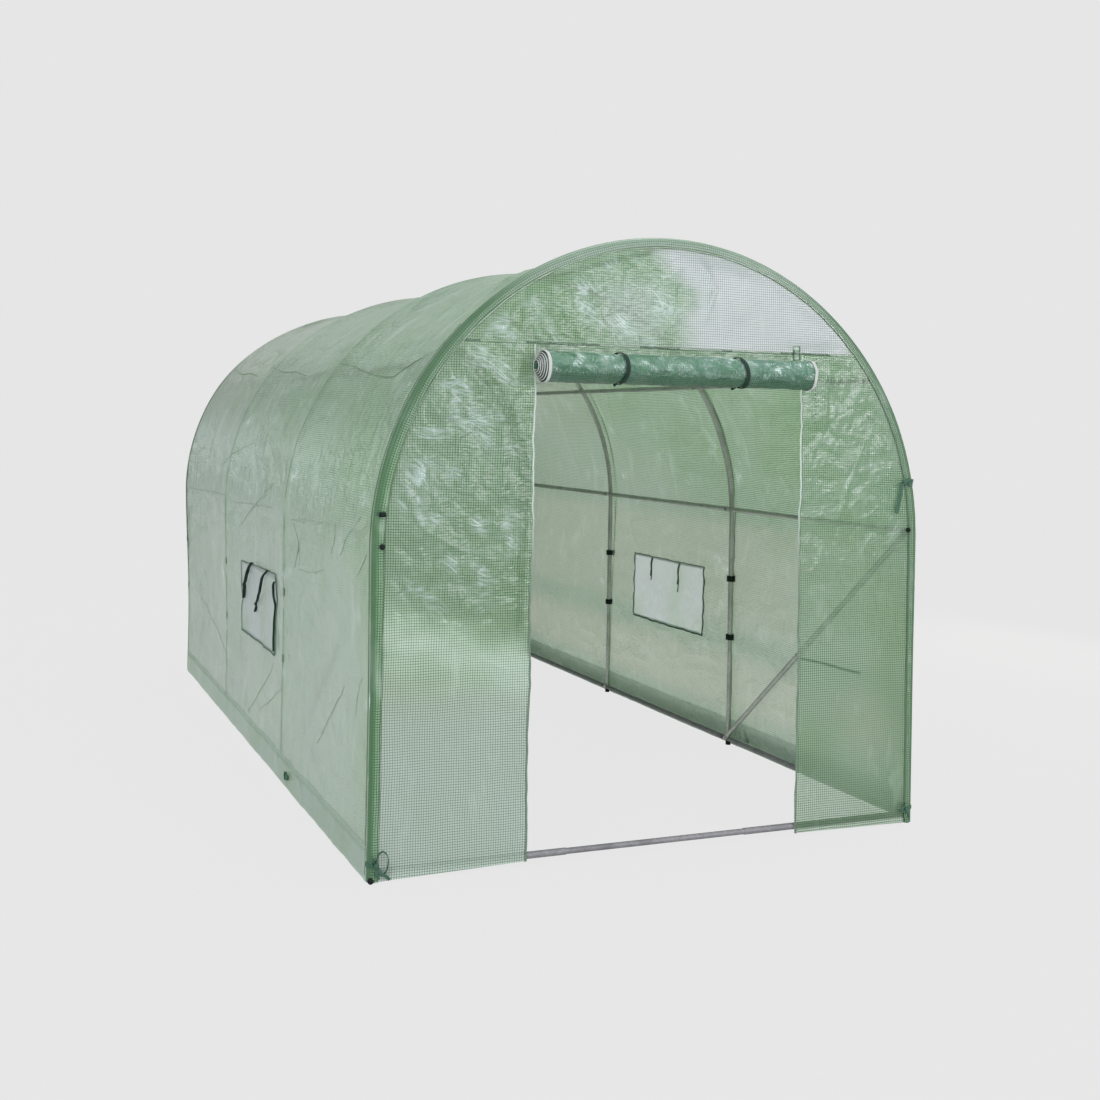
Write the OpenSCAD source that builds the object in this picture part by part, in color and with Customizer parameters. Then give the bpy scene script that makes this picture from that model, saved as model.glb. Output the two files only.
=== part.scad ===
// Walk-in polytunnel greenhouse: steel hoops and rods under a film cover, with a rolled-up door.
// X runs across the tunnel, Y along it with the doorway at -Y, and Z up from the ground.
// The origin is on the ground, at the middle of the whole footprint.

/* [Tunnel] */
// Width over the cover
tunnel_w = 2000; // [1500:10:3000]
// Length over the two end panels
tunnel_l = 3500; // [2500:10:6000]
// Height at which the straight sides turn into the half-round roof
wall_h = 1000; // [850:10:1400]
// Height of the joint between each post and its arch
joint_z = 458; // [380:1:620]

/* [Tubes] */
// Outside diameter of the arches and of the outer base tubes
hoop_d = 22; // [20:1:28]
// Wall of the tube sockets
tube_wall = 1; // [0.8:0.1:1.5]
// Depth that one tube slides into the next
socket_depth = 60; // [30:1:100]
// Clearance around a tube in its socket
slip_gap = 0.5; // [0.2:0.1:0.8]
// Outside diameter of the purlins, side rails and braces
rod_d = 19; // [16:1:22]
// Thickness of a rod's flattened end
tab_t = 2; // [1.5:0.1:3]
// Length of a rod's flattened end between its round eye and its round part
tab_neck = 20.5; // [18:0.5:40]
// Diameter of the bolt holes in the flattened ends
bolt_d = 6; // [4:0.5:8]

/* [Places of the rods] */
// Height of the base rails' middle
rail_z = 30; // [29:1:50]
// Height of the side purlins above the straight sides
side_purlin_up = 30; // [15:1:60]
// Slope angle of the shoulder purlins, up from the level of the roof's centre
shoulder_angle = 35; // [25:1:50]
// Where the front base tube's left joint lies, from the middle
rail_joint_left = 343; // [150:1:600]
// Where the front base tube's right joint lies, from the middle
rail_joint_right = 317; // [150:1:600]

/* [Collars and feet] */
// Width of a black collar along the tunnel
collar_w = 36; // [30:1:50]
// Height of a black collar
collar_h = 24; // [16:1:36]
// Height of the upper collars' middle
upper_collar_z = 725; // [660:1:830]
// Wall of a foot cap
cap_wall = 1.2; // [0.8:0.1:1.4]
// Height of a foot cap
cap_h = 17; // [10:1:18]

/* [Cover] */
// Thickness of the cover panels
film_t = 3; // [2:0.5:5]
// Height of the cover's lower edge
film_bottom = 16; // [5:1:18]
// Height of the hem's upper edge on the long sides
hem_top = 120; // [80:1:200]
// Clearance between the cover and what it rests on
seat_gap = 0.3; // [0.2:0.1:0.5]
// Height of the seam between the doorway and the gable
seam_z = 1640; // [1500:10:1750]

/* [Window] */
// Width of a window along the tunnel
window_w = 650; // [400:10:800]
// Height of a window
window_h = 290; // [200:10:400]
// Height of a window's lower edge
window_z = 452; // [300:1:550]
// How far a window lies toward the door from the middle of its bay
window_shift = 25; // [0:5:60]

/* [Door] */
// Clear width of the doorway
door_w = 985; // [800:5:1100]
// How far the doorway's middle lies right of the tunnel's middle
door_shift = 12; // [-30:1:30]
// Width of a zip tape
zip_w = 12; // [8:1:20]
// Diameter of the rolled-up door
roll_d = 102; // [80:1:130]
// Height of the roll's middle
roll_z = 1567; // [1550:1:1575]
// Width of a door strap
strap_w = 18; // [12:1:30]
// Thickness of a door strap
strap_t = 2; // [1:0.5:3]
// Distance between the two door straps
strap_gap = 440; // [300:10:700]

/* [Hidden] */
$fn = 64;
hoop_count = 4;
roof_strips = 6;
tab_gap = 0.2;
roll_bite = 1;
strap_join = 0.6;
strap_reach = 10;
overlap = 5;

half_w = tunnel_w / 2;
roll_stand = roll_d - roll_bite + seat_gap + strap_t;
front_y = -(tunnel_l - roll_stand) / 2;
rear_y = front_y + tunnel_l;
film_y0 = front_y + film_t;
film_y1 = rear_y - film_t;

arch_r = half_w - film_t - seat_gap - hoop_d / 2;
arch_in = arch_r - hoop_d / 2;
post_d = hoop_d - 2 * tube_wall - 2 * slip_gap;
post_in = arch_r - post_d / 2;
first_y = film_y0 + seat_gap + hoop_d / 2;
bay = (film_y1 - seat_gap - hoop_d / 2 - first_y) / (hoop_count - 1);
last_bay = hoop_count - 2;

tab_step = tab_t + tab_gap;
tab_run = rod_d / 2 + tab_neck;
side_purlin_angle = asin(side_purlin_up / arch_r);
tab_tilt = rod_d / 2 * sin(side_purlin_angle);
brace_x = min(post_in - 2 * tab_step,
              (arch_in - tab_step) * cos(side_purlin_angle) - tab_tilt) - tab_gap - tab_t / 2;
brace_top_z = wall_h + side_purlin_up;
brace_rise = brace_top_z - rail_z;
brace_len = sqrt(bay * bay + brace_rise * brace_rise);
brace_slope = atan2(brace_rise, bay);

door_x0 = door_shift - door_w / 2;
door_x1 = door_shift + door_w / 2;
roll_y = front_y + roll_bite - roll_d / 2;
window_y = (first_y + hoop_y(hoop_count - 1)) / 2 - window_shift;
rail_end = post_in - tab_step - tab_gap;
strip_angle = 180 / roof_strips;

steel = [0.74, 0.76, 0.79];
film_green = [0.60, 0.76, 0.65, 0.75];
film_dark = [0.42, 0.63, 0.52, 0.85];
film_pale = [0.78, 0.84, 0.80, 0.8];
black = [0.10, 0.12, 0.11];
white = [0.93, 0.94, 0.92];
strap_green = [0.10, 0.24, 0.20];

function hoop_y(i) = first_y + i * bay;

// Middle of the n-th flattened end stacked on a tube's inner side, inward from that side.
function tab_x(n) = -n * tab_step + tab_t / 2;

// Puts the children on one long side, with +X pointing out of the tunnel: side is 1 or -1.
module on_side(side) {
    if (side > 0) children();
    else mirror([1, 0, 0]) children();
}

// Turns the children to a place on the arch, with +X pointing out of the tunnel.
module on_arch(angle) {
    translate([0, 0, wall_h]) rotate([0, -angle, 0]) children();
}

// Lays a cylinder along +Y.
module bar(d, length) {
    rotate([-90, 0, 0]) cylinder(d = d, h = length);
}

// One flattened rod end: a plate with a round eye at the origin, running toward +Y.
module tab() {
    rotate([0, 90, 0]) difference() {
        translate([0, 0, -tab_t / 2]) union() {
            cylinder(d = rod_d, h = tab_t);
            translate([-rod_d / 2, 0, 0]) cube([rod_d, tab_run + overlap, tab_t]);
        }
        translate([0, 0, -tab_t]) cylinder(d = bolt_d, h = 2 * tab_t);
    }
}

// A rod from bolt to bolt along +Y, its round part and its two ends at their own depths.
module tied_rod(length, rod_x, start_x, end_x) {
    translate([rod_x, tab_run, 0]) bar(rod_d, length - 2 * tab_run);
    translate([start_x, 0, 0]) tab();
    translate([end_x, length, 0]) mirror([0, 1, 0]) tab();
}

// A run of rods from hoop to hoop; where two meet on a hoop, one end lies on the other.
module rod_run(face) {
    for (i = [0 : last_bay])
        translate([face, hoop_y(i), 0])
            tied_rod(bay, tab_x(1.5), tab_x(1), tab_x(i == last_bay ? 1 : 2));
}

// The bent upper tube of a hoop, with a socket in each end for its post.
module arch(i) {
    color(steel) translate([0, hoop_y(i), 0]) difference() {
        union() {
            translate([0, 0, wall_h]) rotate([90, 0, 0])
                rotate_extrude(angle = 180) translate([arch_r, 0]) circle(d = hoop_d);
            for (side = [-1, 1])
                translate([side * arch_r, 0, joint_z]) cylinder(d = hoop_d, h = wall_h - joint_z);
        }
        for (side = [-1, 1])
            translate([side * arch_r, 0, joint_z - overlap])
                cylinder(d = hoop_d - 2 * tube_wall, h = socket_depth + overlap);
    }
}

// The two straight posts of a hoop, from the foot caps into the arch's sockets.
module posts(i) {
    color(steel) for (side = [-1, 1])
        translate([side * arch_r, hoop_y(i), cap_wall])
            cylinder(d = post_d, h = joint_z + socket_depth - seat_gap - cap_wall);
}

module foot_cap() {
    bore_d = post_d + 2 * tab_gap;
    difference() {
        cylinder(d = bore_d + 2 * cap_wall, h = cap_h);
        translate([0, 0, cap_wall]) cylinder(d = bore_d, h = cap_h);
    }
}

module foot_caps() {
    color(black) for (i = [0 : hoop_count - 1], side = [-1, 1])
        translate([side * arch_r, hoop_y(i), 0]) foot_cap();
}

module side_base_rail(side) {
    color(steel) on_side(side) translate([0, 0, rail_z]) rod_run(post_in);
}

// A base tube across one end: two outer tubes and a thinner one between them.
module end_base_rail(y, left_joint, right_joint) {
    inner_end = post_d / 2;
    color(steel) translate([0, y, rail_z]) rotate([0, 0, -90]) {
        translate([0, -rail_end, 0]) outer_tube(rail_end - left_joint);
        translate([0, rail_end, 0]) mirror([0, 1, 0]) outer_tube(rail_end - right_joint);
        translate([0, -left_joint - socket_depth + seat_gap, 0])
            bar(post_d, left_joint + right_joint + 2 * (socket_depth - seat_gap));
    }
}

// A base tube along +Y, with a socket in its far end.
module outer_tube(length) {
    difference() {
        bar(hoop_d, length);
        translate([0, length - socket_depth, 0]) bar(hoop_d - 2 * tube_wall, socket_depth + overlap);
    }
}

module purlin(angle) {
    color(steel) on_arch(angle) rod_run(arch_in);
}

// The slanting rod from the second hoop's foot up to the front hoop.
module brace(side) {
    color(steel) on_side(side)
        translate([brace_x, hoop_y(1), rail_z]) rotate([180 - brace_slope, 0, 0])
            tied_rod(brace_len, 0, 0, 0);
}

// A snap-on collar around the arch tube, cut flat where the cover passes and open at a corner.
module collar(i, z) {
    translate([0, 0, z - collar_h / 2]) linear_extrude(collar_h) intersection() {
        translate([arch_r, hoop_y(i)]) difference() {
            circle(d = collar_w);
            circle(d = hoop_d + 2 * seat_gap);
            if (i == hoop_count - 1) square(collar_w);
        }
        translate([0, film_y0 + seat_gap])
            square([half_w - film_t - 2 * seat_gap, film_y1 - film_y0 - 2 * seat_gap]);
    }
}

module collars(side) {
    color(black) on_side(side) for (i = [1 : hoop_count - 1], z = [joint_z + collar_h / 2, upper_collar_z])
        collar(i, z);
}

// A flat piece of one long side's cover, from height z0 to z1.
module side_film(z0, z1) {
    translate([half_w - film_t, film_y0, z0]) cube([film_t, film_y1 - film_y0, z1 - z0]);
}

// A window's space in the long side's cover, made smaller all round by a margin.
module window_space(margin) {
    translate([half_w - 2 * film_t, window_y - window_w / 2 + margin, window_z + margin])
        cube([3 * film_t, window_w - 2 * margin, window_h - 2 * margin]);
}

module wall_film(side) {
    color(film_green) on_side(side) difference() {
        side_film(hem_top, wall_h);
        window_space(0);
    }
}

module window_flap(side) {
    color(film_pale) on_side(side) intersection() {
        side_film(hem_top, wall_h);
        window_space(seat_gap);
    }
}

module hem(side) {
    color(film_dark) on_side(side) side_film(film_bottom, hem_top);
}

// One curved strip of the roof's cover; strip 0 starts at the right wall.
module roof_film(strip) {
    color(film_green) translate([0, film_y1, wall_h]) rotate([90, 0, 0])
        rotate([0, 0, strip * strip_angle]) rotate_extrude(angle = strip_angle, $fn = 240)
            translate([half_w - film_t, 0]) square([film_t, film_y1 - film_y0]);
}

// The end's outline, drawn with height along +Y.
module end_outline() {
    translate([0, wall_h]) circle(r = half_w, $fn = 240);
    translate([-half_w, film_bottom]) square([tunnel_w, wall_h - film_bottom]);
}

// The part of an end panel between two widths and two heights, its outer face at y.
module end_film(y, x0, x1, z0, z1) {
    translate([0, y + film_t, 0]) rotate([90, 0, 0]) linear_extrude(film_t) intersection() {
        end_outline();
        translate([x0, z0]) square([x1 - x0, z1 - z0]);
    }
}

module gable_film(y) {
    color(film_green) end_film(y, -half_w, half_w, seam_z, wall_h + half_w);
}

module front_left_film() {
    color(film_green) end_film(front_y, -half_w, door_x0 - zip_w, film_bottom, seam_z);
}

module front_right_film() {
    color(film_green) end_film(front_y, door_x1 + zip_w, half_w, film_bottom, seam_z);
}

module rear_wall_film() {
    color(film_green) end_film(film_y1, -half_w, half_w, film_bottom, seam_z);
}

module door_zips() {
    color(white) for (x = [door_x0 - zip_w, door_x1])
        end_film(front_y, x, x + zip_w, film_bottom, seam_z);
}

// The door rolled up under the seam, with the short length of film that it hangs from.
module door_roll() {
    color(film_dark) {
        translate([door_x0 + seat_gap, roll_y, roll_z]) rotate([0, 90, 0])
            cylinder(d = roll_d, h = door_w - 2 * seat_gap);
        end_film(front_y, door_x0 + seat_gap, door_x1 - seat_gap, roll_z, seam_z);
    }
}

// A strap around the roll's front, with its upper end on the gable.
module door_strap() {
    inner_r = roll_d / 2 + seat_gap;
    outer_r = inner_r + strap_t;
    strap_end = acos((front_y - seat_gap - strap_t + strap_join - roll_y) / outer_r);
    tail_z = roll_z + inner_r * sin(strap_end);
    rotate([0, 0, 90]) rotate([90, 0, 0]) linear_extrude(strap_w, center = true) {
        translate([roll_y, roll_z]) difference() {
            circle(r = outer_r);
            circle(r = inner_r);
            polygon([[0, 0], [roll_d, roll_d * tan(strap_end)], [roll_d, -roll_d * tan(strap_end)]]);
        }
        translate([front_y - seat_gap - strap_t, tail_z])
            square([strap_t, seam_z + strap_reach - tail_z]);
    }
}

module door_straps() {
    color(strap_green) for (side = [-1, 1])
        translate([side * strap_gap / 2, 0, 0]) door_strap();
}

arch(0);  // front_arch
arch(1);  // second_arch
arch(2);  // third_arch
arch(3);  // rear_arch
posts(0);  // front_posts
posts(1);  // second_posts
posts(2);  // third_posts
posts(3);  // rear_posts
foot_caps();
side_base_rail(-1);  // left_base_rail
side_base_rail(1);  // right_base_rail
end_base_rail(hoop_y(0), rail_joint_left, rail_joint_right);  // front_base_rail
end_base_rail(hoop_y(3), rail_joint_left, rail_joint_right);  // rear_base_rail
purlin(180 - side_purlin_angle);  // left_side_purlin
purlin(side_purlin_angle);  // right_side_purlin
purlin(180 - shoulder_angle);  // left_shoulder_purlin
purlin(shoulder_angle);  // right_shoulder_purlin
purlin(90);  // ridge_purlin
brace(-1);  // left_brace
brace(1);  // right_brace
collars(-1);  // left_collars
collars(1);  // right_collars
wall_film(-1);  // left_wall_film
wall_film(1);  // right_wall_film
hem(-1);  // left_hem
hem(1);  // right_hem
window_flap(-1);  // left_window_flap
window_flap(1);  // right_window_flap
roof_film(0);  // right_eaves_film
roof_film(1);  // right_shoulder_film
roof_film(2);  // right_crown_film
roof_film(3);  // left_crown_film
roof_film(4);  // left_shoulder_film
roof_film(5);  // left_eaves_film
gable_film(front_y);  // front_gable_film
front_left_film();
front_right_film();
gable_film(film_y1);  // rear_gable_film
rear_wall_film();
door_roll();
door_straps();
door_zips();
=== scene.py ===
import bpy
import math
import numpy as np
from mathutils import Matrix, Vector


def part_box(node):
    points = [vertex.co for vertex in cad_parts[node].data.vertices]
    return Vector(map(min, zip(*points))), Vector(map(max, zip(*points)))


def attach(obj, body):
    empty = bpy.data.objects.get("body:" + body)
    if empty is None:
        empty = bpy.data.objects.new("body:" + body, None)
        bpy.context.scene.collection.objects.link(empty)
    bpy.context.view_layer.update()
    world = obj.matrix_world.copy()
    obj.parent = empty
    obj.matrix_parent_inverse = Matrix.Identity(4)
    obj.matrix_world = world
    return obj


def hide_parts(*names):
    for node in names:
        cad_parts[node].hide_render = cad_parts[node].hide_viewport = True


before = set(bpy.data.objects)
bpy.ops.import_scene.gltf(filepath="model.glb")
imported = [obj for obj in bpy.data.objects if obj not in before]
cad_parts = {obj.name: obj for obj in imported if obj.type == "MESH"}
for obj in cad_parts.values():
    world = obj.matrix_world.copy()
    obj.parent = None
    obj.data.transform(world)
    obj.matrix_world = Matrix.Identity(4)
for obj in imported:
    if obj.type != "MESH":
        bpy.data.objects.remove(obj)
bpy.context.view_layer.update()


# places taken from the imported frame

def middle(node):
    low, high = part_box(node)
    return (low + high) / 2


hoopY = [middle(n).y for n in ("front_arch", "second_arch", "third_arch", "rear_arch")]
bay = hoopY[1] - hoopY[0]
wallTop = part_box("left_wall_film")[1].z
filmBottom = 0.0035             # the film hangs almost to the ground
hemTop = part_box("left_hem")[1].z
tubeR = (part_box("front_arch")[1].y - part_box("front_arch")[0].y) / 2
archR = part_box("front_arch")[1].x - tubeR
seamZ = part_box("front_gable_film")[0].z
windowLow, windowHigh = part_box("right_window_flap")
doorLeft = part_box("front_left_film")[1].x
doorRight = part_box("front_right_film")[0].x
rollLow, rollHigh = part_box("door_roll")
rollZ = 1.567                   # height of the door roll's middle
rollR = rollZ - rollLow.z
rollY = rollLow.y + rollR
skin = tubeR + 0.0042           # from a hoop's middle line out to the cover lying loosely on it
panelGap = 0.0014               # from an end hoop's tube to the end panel
endHoop = {-1: hoopY[0], 1: hoopY[3]}
endY = {side: endHoop[side] + side * (tubeR + panelGap) for side in (-1, 1)}
print("frame read, hoops at", [round(y, 3) for y in hoopY])


# noise and folds

def smooth(a, b, x):                # rises softly from 0 at a to 1 at b
    t = np.clip((x - a) / (b - a), 0, 1)
    return t * t * (3 - 2 * t)


def cellRandom(ix, iy, seed):
    n = (ix.astype(np.int64) * 374761393 + iy.astype(np.int64) * 668265263 + seed * 982451653) & 0xFFFFFFFF
    n = ((n ^ (n >> 13)) * 1274126177) & 0xFFFFFFFF
    return ((n ^ (n >> 16)) & 0xFFFFFF) / 0xFFFFFF


def softNoise(u, v, seed):          # from about -1 to 1
    u, v = np.broadcast_arrays(np.asarray(u, float), np.asarray(v, float))
    iu, iv = np.floor(u), np.floor(v)
    fu, fv = u - iu, v - iv

    def corner(du, dv):
        turn = cellRandom(iu + du, iv + dv, seed) * 2 * math.pi
        return np.cos(turn) * (fu - du) + np.sin(turn) * (fv - dv)

    wu = fu ** 3 * (fu * (fu * 6 - 15) + 10)
    wv = fv ** 3 * (fv * (fv * 6 - 15) + 10)
    low = corner(0, 0) * (1 - wu) + corner(1, 0) * wu
    high = corner(0, 1) * (1 - wu) + corner(1, 1) * wu
    return (low * (1 - wv) + high * wv) * 1.5


def wobble(u, seed):          # noise along a line
    return softNoise(u, 0 * u, seed)


def creased(u, v, size, seed):      # sharp-edged crumples in three sizes, about -1 to 1
    total, share, reach = 0, 1, 0
    for k in range(3):
        f = 2 ** k / size
        bent = softNoise(u * f * 0.5 + 11.3, v * f * 0.5 - 4.1, seed + 50 + k)
        ridge = np.abs(softNoise(u * f + 0.6 * bent + 3.7 * k, v * f - 0.6 * bent, seed + k))
        total = total + share * (1 - 3.2 * ridge) * (1 if k % 2 else -1)
        reach += share
        share *= 0.55
    return total / reach


def fold(u, v, points, depth, width):   # one crease along a line of points
    best = np.full(u.shape, 1e9)
    along = np.zeros(u.shape)
    lengths = [math.dist(a, b) for a, b in zip(points, points[1:])]
    done, whole = 0, sum(lengths)
    for (a, b), length in zip(zip(points, points[1:]), lengths):
        du, dv = (b[0] - a[0]) / length, (b[1] - a[1]) / length
        p = np.clip((u - a[0]) * du + (v - a[1]) * dv, 0, length)
        d = np.hypot(u - a[0] - p * du, v - a[1] - p * dv)
        nearer = d < best
        best = np.where(nearer, d, best)
        along = np.where(nearer, (done + p) / whole, along)
        done += length
    return depth * np.exp(-best / width) * np.clip(4 * along * (1 - along), 0, 1) ** 0.6


def scatterFolds(u, v, look, seed):     # many short straight creases inside a box
    rng = np.random.default_rng(seed)
    total = np.zeros(u.shape)
    for _ in range(look["count"]):
        cu, cv = rng.uniform(*look["u"]), rng.uniform(*look["v"])
        turn = math.radians(rng.uniform(*look["angle"]))
        half = rng.uniform(*look["length"]) / 2
        width, depth = rng.uniform(*look["width"]), rng.uniform(*look["depth"])
        bend = rng.uniform(-1, 1) * look.get("bend", 0.15)
        depth *= rng.choice([-1, 1])
        p = (u - cu) * math.cos(turn) + (v - cv) * math.sin(turn)
        q = -(u - cu) * math.sin(turn) + (v - cv) * math.cos(turn) - bend * p * p / half
        near = (np.abs(p) < half) & (np.abs(q) < 6 * width)
        total[near] += (depth * np.exp(-np.abs(q) / width) * (1 - (p / half) ** 2) ** 2)[near]
    return total


# meshes

def buildPiece(name, points, faces, cloth=None, materials=(), faceMaterial=None, rounded=True):
    mesh = bpy.data.meshes.new(name)
    mesh.from_pydata(np.asarray(points, float).tolist(), [], [tuple(int(i) for i in f) for f in faces])
    if cloth is not None:
        layer = mesh.uv_layers.new(name="cloth")
        corners = np.zeros(len(mesh.loops), np.int32)
        mesh.loops.foreach_get("vertex_index", corners)
        layer.data.foreach_set("uv", np.asarray(cloth, np.float32)[corners].ravel())
    for material in materials:
        mesh.materials.append(material)
    if faceMaterial is not None:
        mesh.polygons.foreach_set("material_index", np.asarray(faceMaterial, np.int32))
    mesh.polygons.foreach_set("use_smooth", np.full(len(mesh.polygons), rounded))
    mesh.update()
    piece = bpy.data.objects.new(name, mesh)
    bpy.context.scene.collection.objects.link(piece)
    return piece


def gridShape(place, cloth, holes=None, flip=False):    # a sheet from rows and columns of points
    rows, cols = place.shape[:2]
    index = np.arange(rows * cols).reshape(rows, cols)
    quads = np.stack([index[:-1, :-1], index[:-1, 1:], index[1:, 1:], index[1:, :-1]], -1)
    quads = quads.reshape(-1, 4) if holes is None else quads[~holes]
    if flip:
        quads = quads[:, ::-1]
    used, new = np.unique(quads, return_inverse=True)
    return place.reshape(-1, 3)[used], new.reshape(-1, 4), cloth.reshape(-1, 2)[used]


def joinShapes(shapes):              # several shapes as one, each with points, faces and cloth
    points, faces, cloth, start = [], [], [], 0
    for p, f, c in shapes:
        points.append(np.asarray(p, float))
        faces += [tuple(int(i) + start for i in one) for one in f]
        cloth.append(np.asarray(c, float))
        start += len(p)
    return np.concatenate(points), faces, np.concatenate(cloth)


def unit(a):
    return a / np.maximum(np.linalg.norm(a, axis=-1, keepdims=True), 1e-12)


def through(points, count):          # a smooth run of points through the given ones
    p = np.asarray(points, float)
    p = np.concatenate([[2 * p[0] - p[1]], p, [2 * p[-1] - p[-2]]])
    spans = len(p) - 3
    t = np.linspace(0, spans, count)
    k = np.minimum(t.astype(int), spans - 1)
    f = (t - k)[:, None]
    a, b, c, d = p[k], p[k + 1], p[k + 2], p[k + 3]
    return 0.5 * (2 * b + (c - a) * f + (2 * a - 5 * b + 4 * c - d) * f ** 2 + (3 * b - a - 3 * c + d) * f ** 3)


def ringFaces(count, sides):         # quads between rings of points, with a face over each end
    index = np.arange(count * sides).reshape(count, sides)
    nextOne = np.roll(index, -1, 1)
    faces = np.stack([index[:-1], nextOne[:-1], nextOne[1:], index[1:]], -1).reshape(-1, 4).tolist()
    return faces + [tuple(index[0][::-1]), tuple(index[-1])]


bandSection = [(-0.5, -0.3), (-0.44, -0.5), (0.44, -0.5), (0.5, -0.3),
               (0.5, 0.3), (0.44, 0.5), (-0.44, 0.5), (-0.5, 0.3)]


def bandShape(centres, across, width, thick):    # a flat strap as a closed solid
    centres = np.asarray(centres, float)
    n = len(centres)
    along = unit(np.gradient(centres, axis=0))
    across = np.broadcast_to(np.asarray(across, float), centres.shape)
    across = unit(across - along * (across * along).sum(1, keepdims=True))
    out = np.cross(along, across)
    width = np.broadcast_to(width, (n,))[:, None]
    thick = np.broadcast_to(thick, (n,))[:, None]
    rings = np.stack([centres + across * width * a + out * thick * b for a, b in bandSection], 1)
    m = len(bandSection)
    run = np.concatenate([[0], np.cumsum(np.linalg.norm(np.diff(centres, axis=0), axis=1))])
    cloth = np.stack([np.broadcast_to(np.array([a for a, b in bandSection]) * width, (n, m)),
                      np.broadcast_to(run[:, None], (n, m))], -1)
    return rings.reshape(-1, 3), ringFaces(n, m), cloth.reshape(-1, 2)


def latheShape(profile, centre, axis, sides):    # a turned knob from (radius, height) pairs
    axis = unit(np.asarray(axis, float))
    side = unit(np.cross(axis, [0.3, 0.2, 0.9]))
    other = np.cross(axis, side)
    turn = np.arange(sides) * 2 * math.pi / sides
    circle = np.cos(turn)[:, None] * side + np.sin(turn)[:, None] * other
    rings = np.stack([np.asarray(centre) + axis * h + circle * r for r, h in profile])
    n = len(profile)
    cloth = np.stack([np.broadcast_to(turn * 0.01, (n, sides)),
                      np.broadcast_to(np.array([h for r, h in profile])[:, None], (n, sides))], -1)
    return rings.reshape(-1, 3), ringFaces(n, sides), cloth.reshape(-1, 2)


def finishPiece(piece, slot, *nodes):
    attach(piece, "root")
    if nodes:
        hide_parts(*nodes)


def joinedPiece(name, shapes, material, slot, *nodes):
    piece = buildPiece(name, *joinShapes(shapes), materials=[material])
    finishPiece(piece, slot, *nodes)
    return piece


def stations(keys, step):            # evenly spaced values that keep every key value
    out = [keys[0]]
    for a, b in zip(keys, keys[1:]):
        out += list(np.linspace(a, b, max(1, int(math.ceil(abs(b - a) / step))) + 1)[1:])
    return np.array(out)


def swell(count, ends, power=1.0):   # thin at both ends and full in the middle, from 0 to 1
    return np.sin(np.linspace(ends, math.pi - ends, count)) ** power


# materials

def newMaterial(name, shown):
    material = bpy.data.materials.new(name)
    material.use_nodes = True
    material.node_tree.nodes.clear()
    material.diffuse_color = (*shown, 1)
    return material, material.node_tree


def add(tree, kind, settings=(), sockets=()):
    node = tree.nodes.new(kind)
    for name, value in dict(settings).items():
        setattr(node, name, value)
    for name, value in dict(sockets).items():
        if isinstance(value, bpy.types.NodeSocket):
            tree.links.new(value, node.inputs[name])
        else:
            node.inputs[name].default_value = value
    return node


def firstOut(tree, kind, settings=(), sockets=()):
    return add(tree, kind, settings, sockets).outputs[0]


def calc(tree, operation, *values):
    return firstOut(tree, "ShaderNodeMath", {"operation": operation}, dict(enumerate(values)))


def times(tree, *values):            # the product of two or more
    product = values[0]
    for value in values[1:]:
        product = calc(tree, "MULTIPLY", product, value)
    return product


def plus(tree, *values):             # the sum of two or more
    total = values[0]
    for value in values[1:]:
        total = calc(tree, "ADD", total, value)
    return total


def ramp(tree, value, low, high, toLow=0.0, toHigh=1.0, kind="SMOOTHSTEP"):
    return firstOut(tree, "ShaderNodeMapRange", {"interpolation_type": kind},
               {"Value": value, "From Min": low, "From Max": high, "To Min": toLow, "To Max": toHigh})


def slope(tree, value, toLow, toHigh, low=0.0, high=1.0):      # a straight ramp
    return ramp(tree, value, low, high, toLow, toHigh, "LINEAR")


def blendColour(tree, factor, a, b, mode="MIX"):
    node = add(tree, "ShaderNodeMix", {"data_type": "RGBA", "blend_type": mode}, {0: factor})
    for spot, value in ((6, a), (7, b)):
        if isinstance(value, bpy.types.NodeSocket):
            tree.links.new(value, node.inputs[spot])
        else:
            node.inputs[spot].default_value = (*value, 1)
    return node.outputs[2]


def noise(tree, place, scale, detail, roughness=0.5, flat=False, out="Fac"):
    return add(tree, "ShaderNodeTexNoise", {"noise_dimensions": "2D" if flat else "3D"},
               {"Vector": place, "Scale": scale, "Detail": detail, "Roughness": roughness}).outputs[out]


def stretched(tree, place, scale, turn=0.0):
    return firstOut(tree, "ShaderNodeMapping", {}, {"Vector": place, "Scale": scale, "Rotation": (0, 0, turn)})


def shifted(tree, place, by, amount):         # place moved by a vector times an amount
    return firstOut(tree, "ShaderNodeVectorMath", {"operation": "MULTIPLY_ADD"},
               {0: by, 1: (amount, amount, 0), 2: place})


def mixShaders(tree, factor, a, b):
    return firstOut(tree, "ShaderNodeMixShader", {}, {0: factor, 1: a, 2: b})


def principled(tree, sockets):
    return firstOut(tree, "ShaderNodeBsdfPrincipled", {}, sockets)


def output(tree, shader):
    add(tree, "ShaderNodeOutputMaterial", {}, {"Surface": shader})


def bumped(tree, height, distance):
    return firstOut(tree, "ShaderNodeBump", {}, {"Height": height, "Distance": distance, "Strength": 1.0})


def ownPlace(tree):
    return add(tree, "ShaderNodeTexCoord").outputs["Object"]


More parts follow.
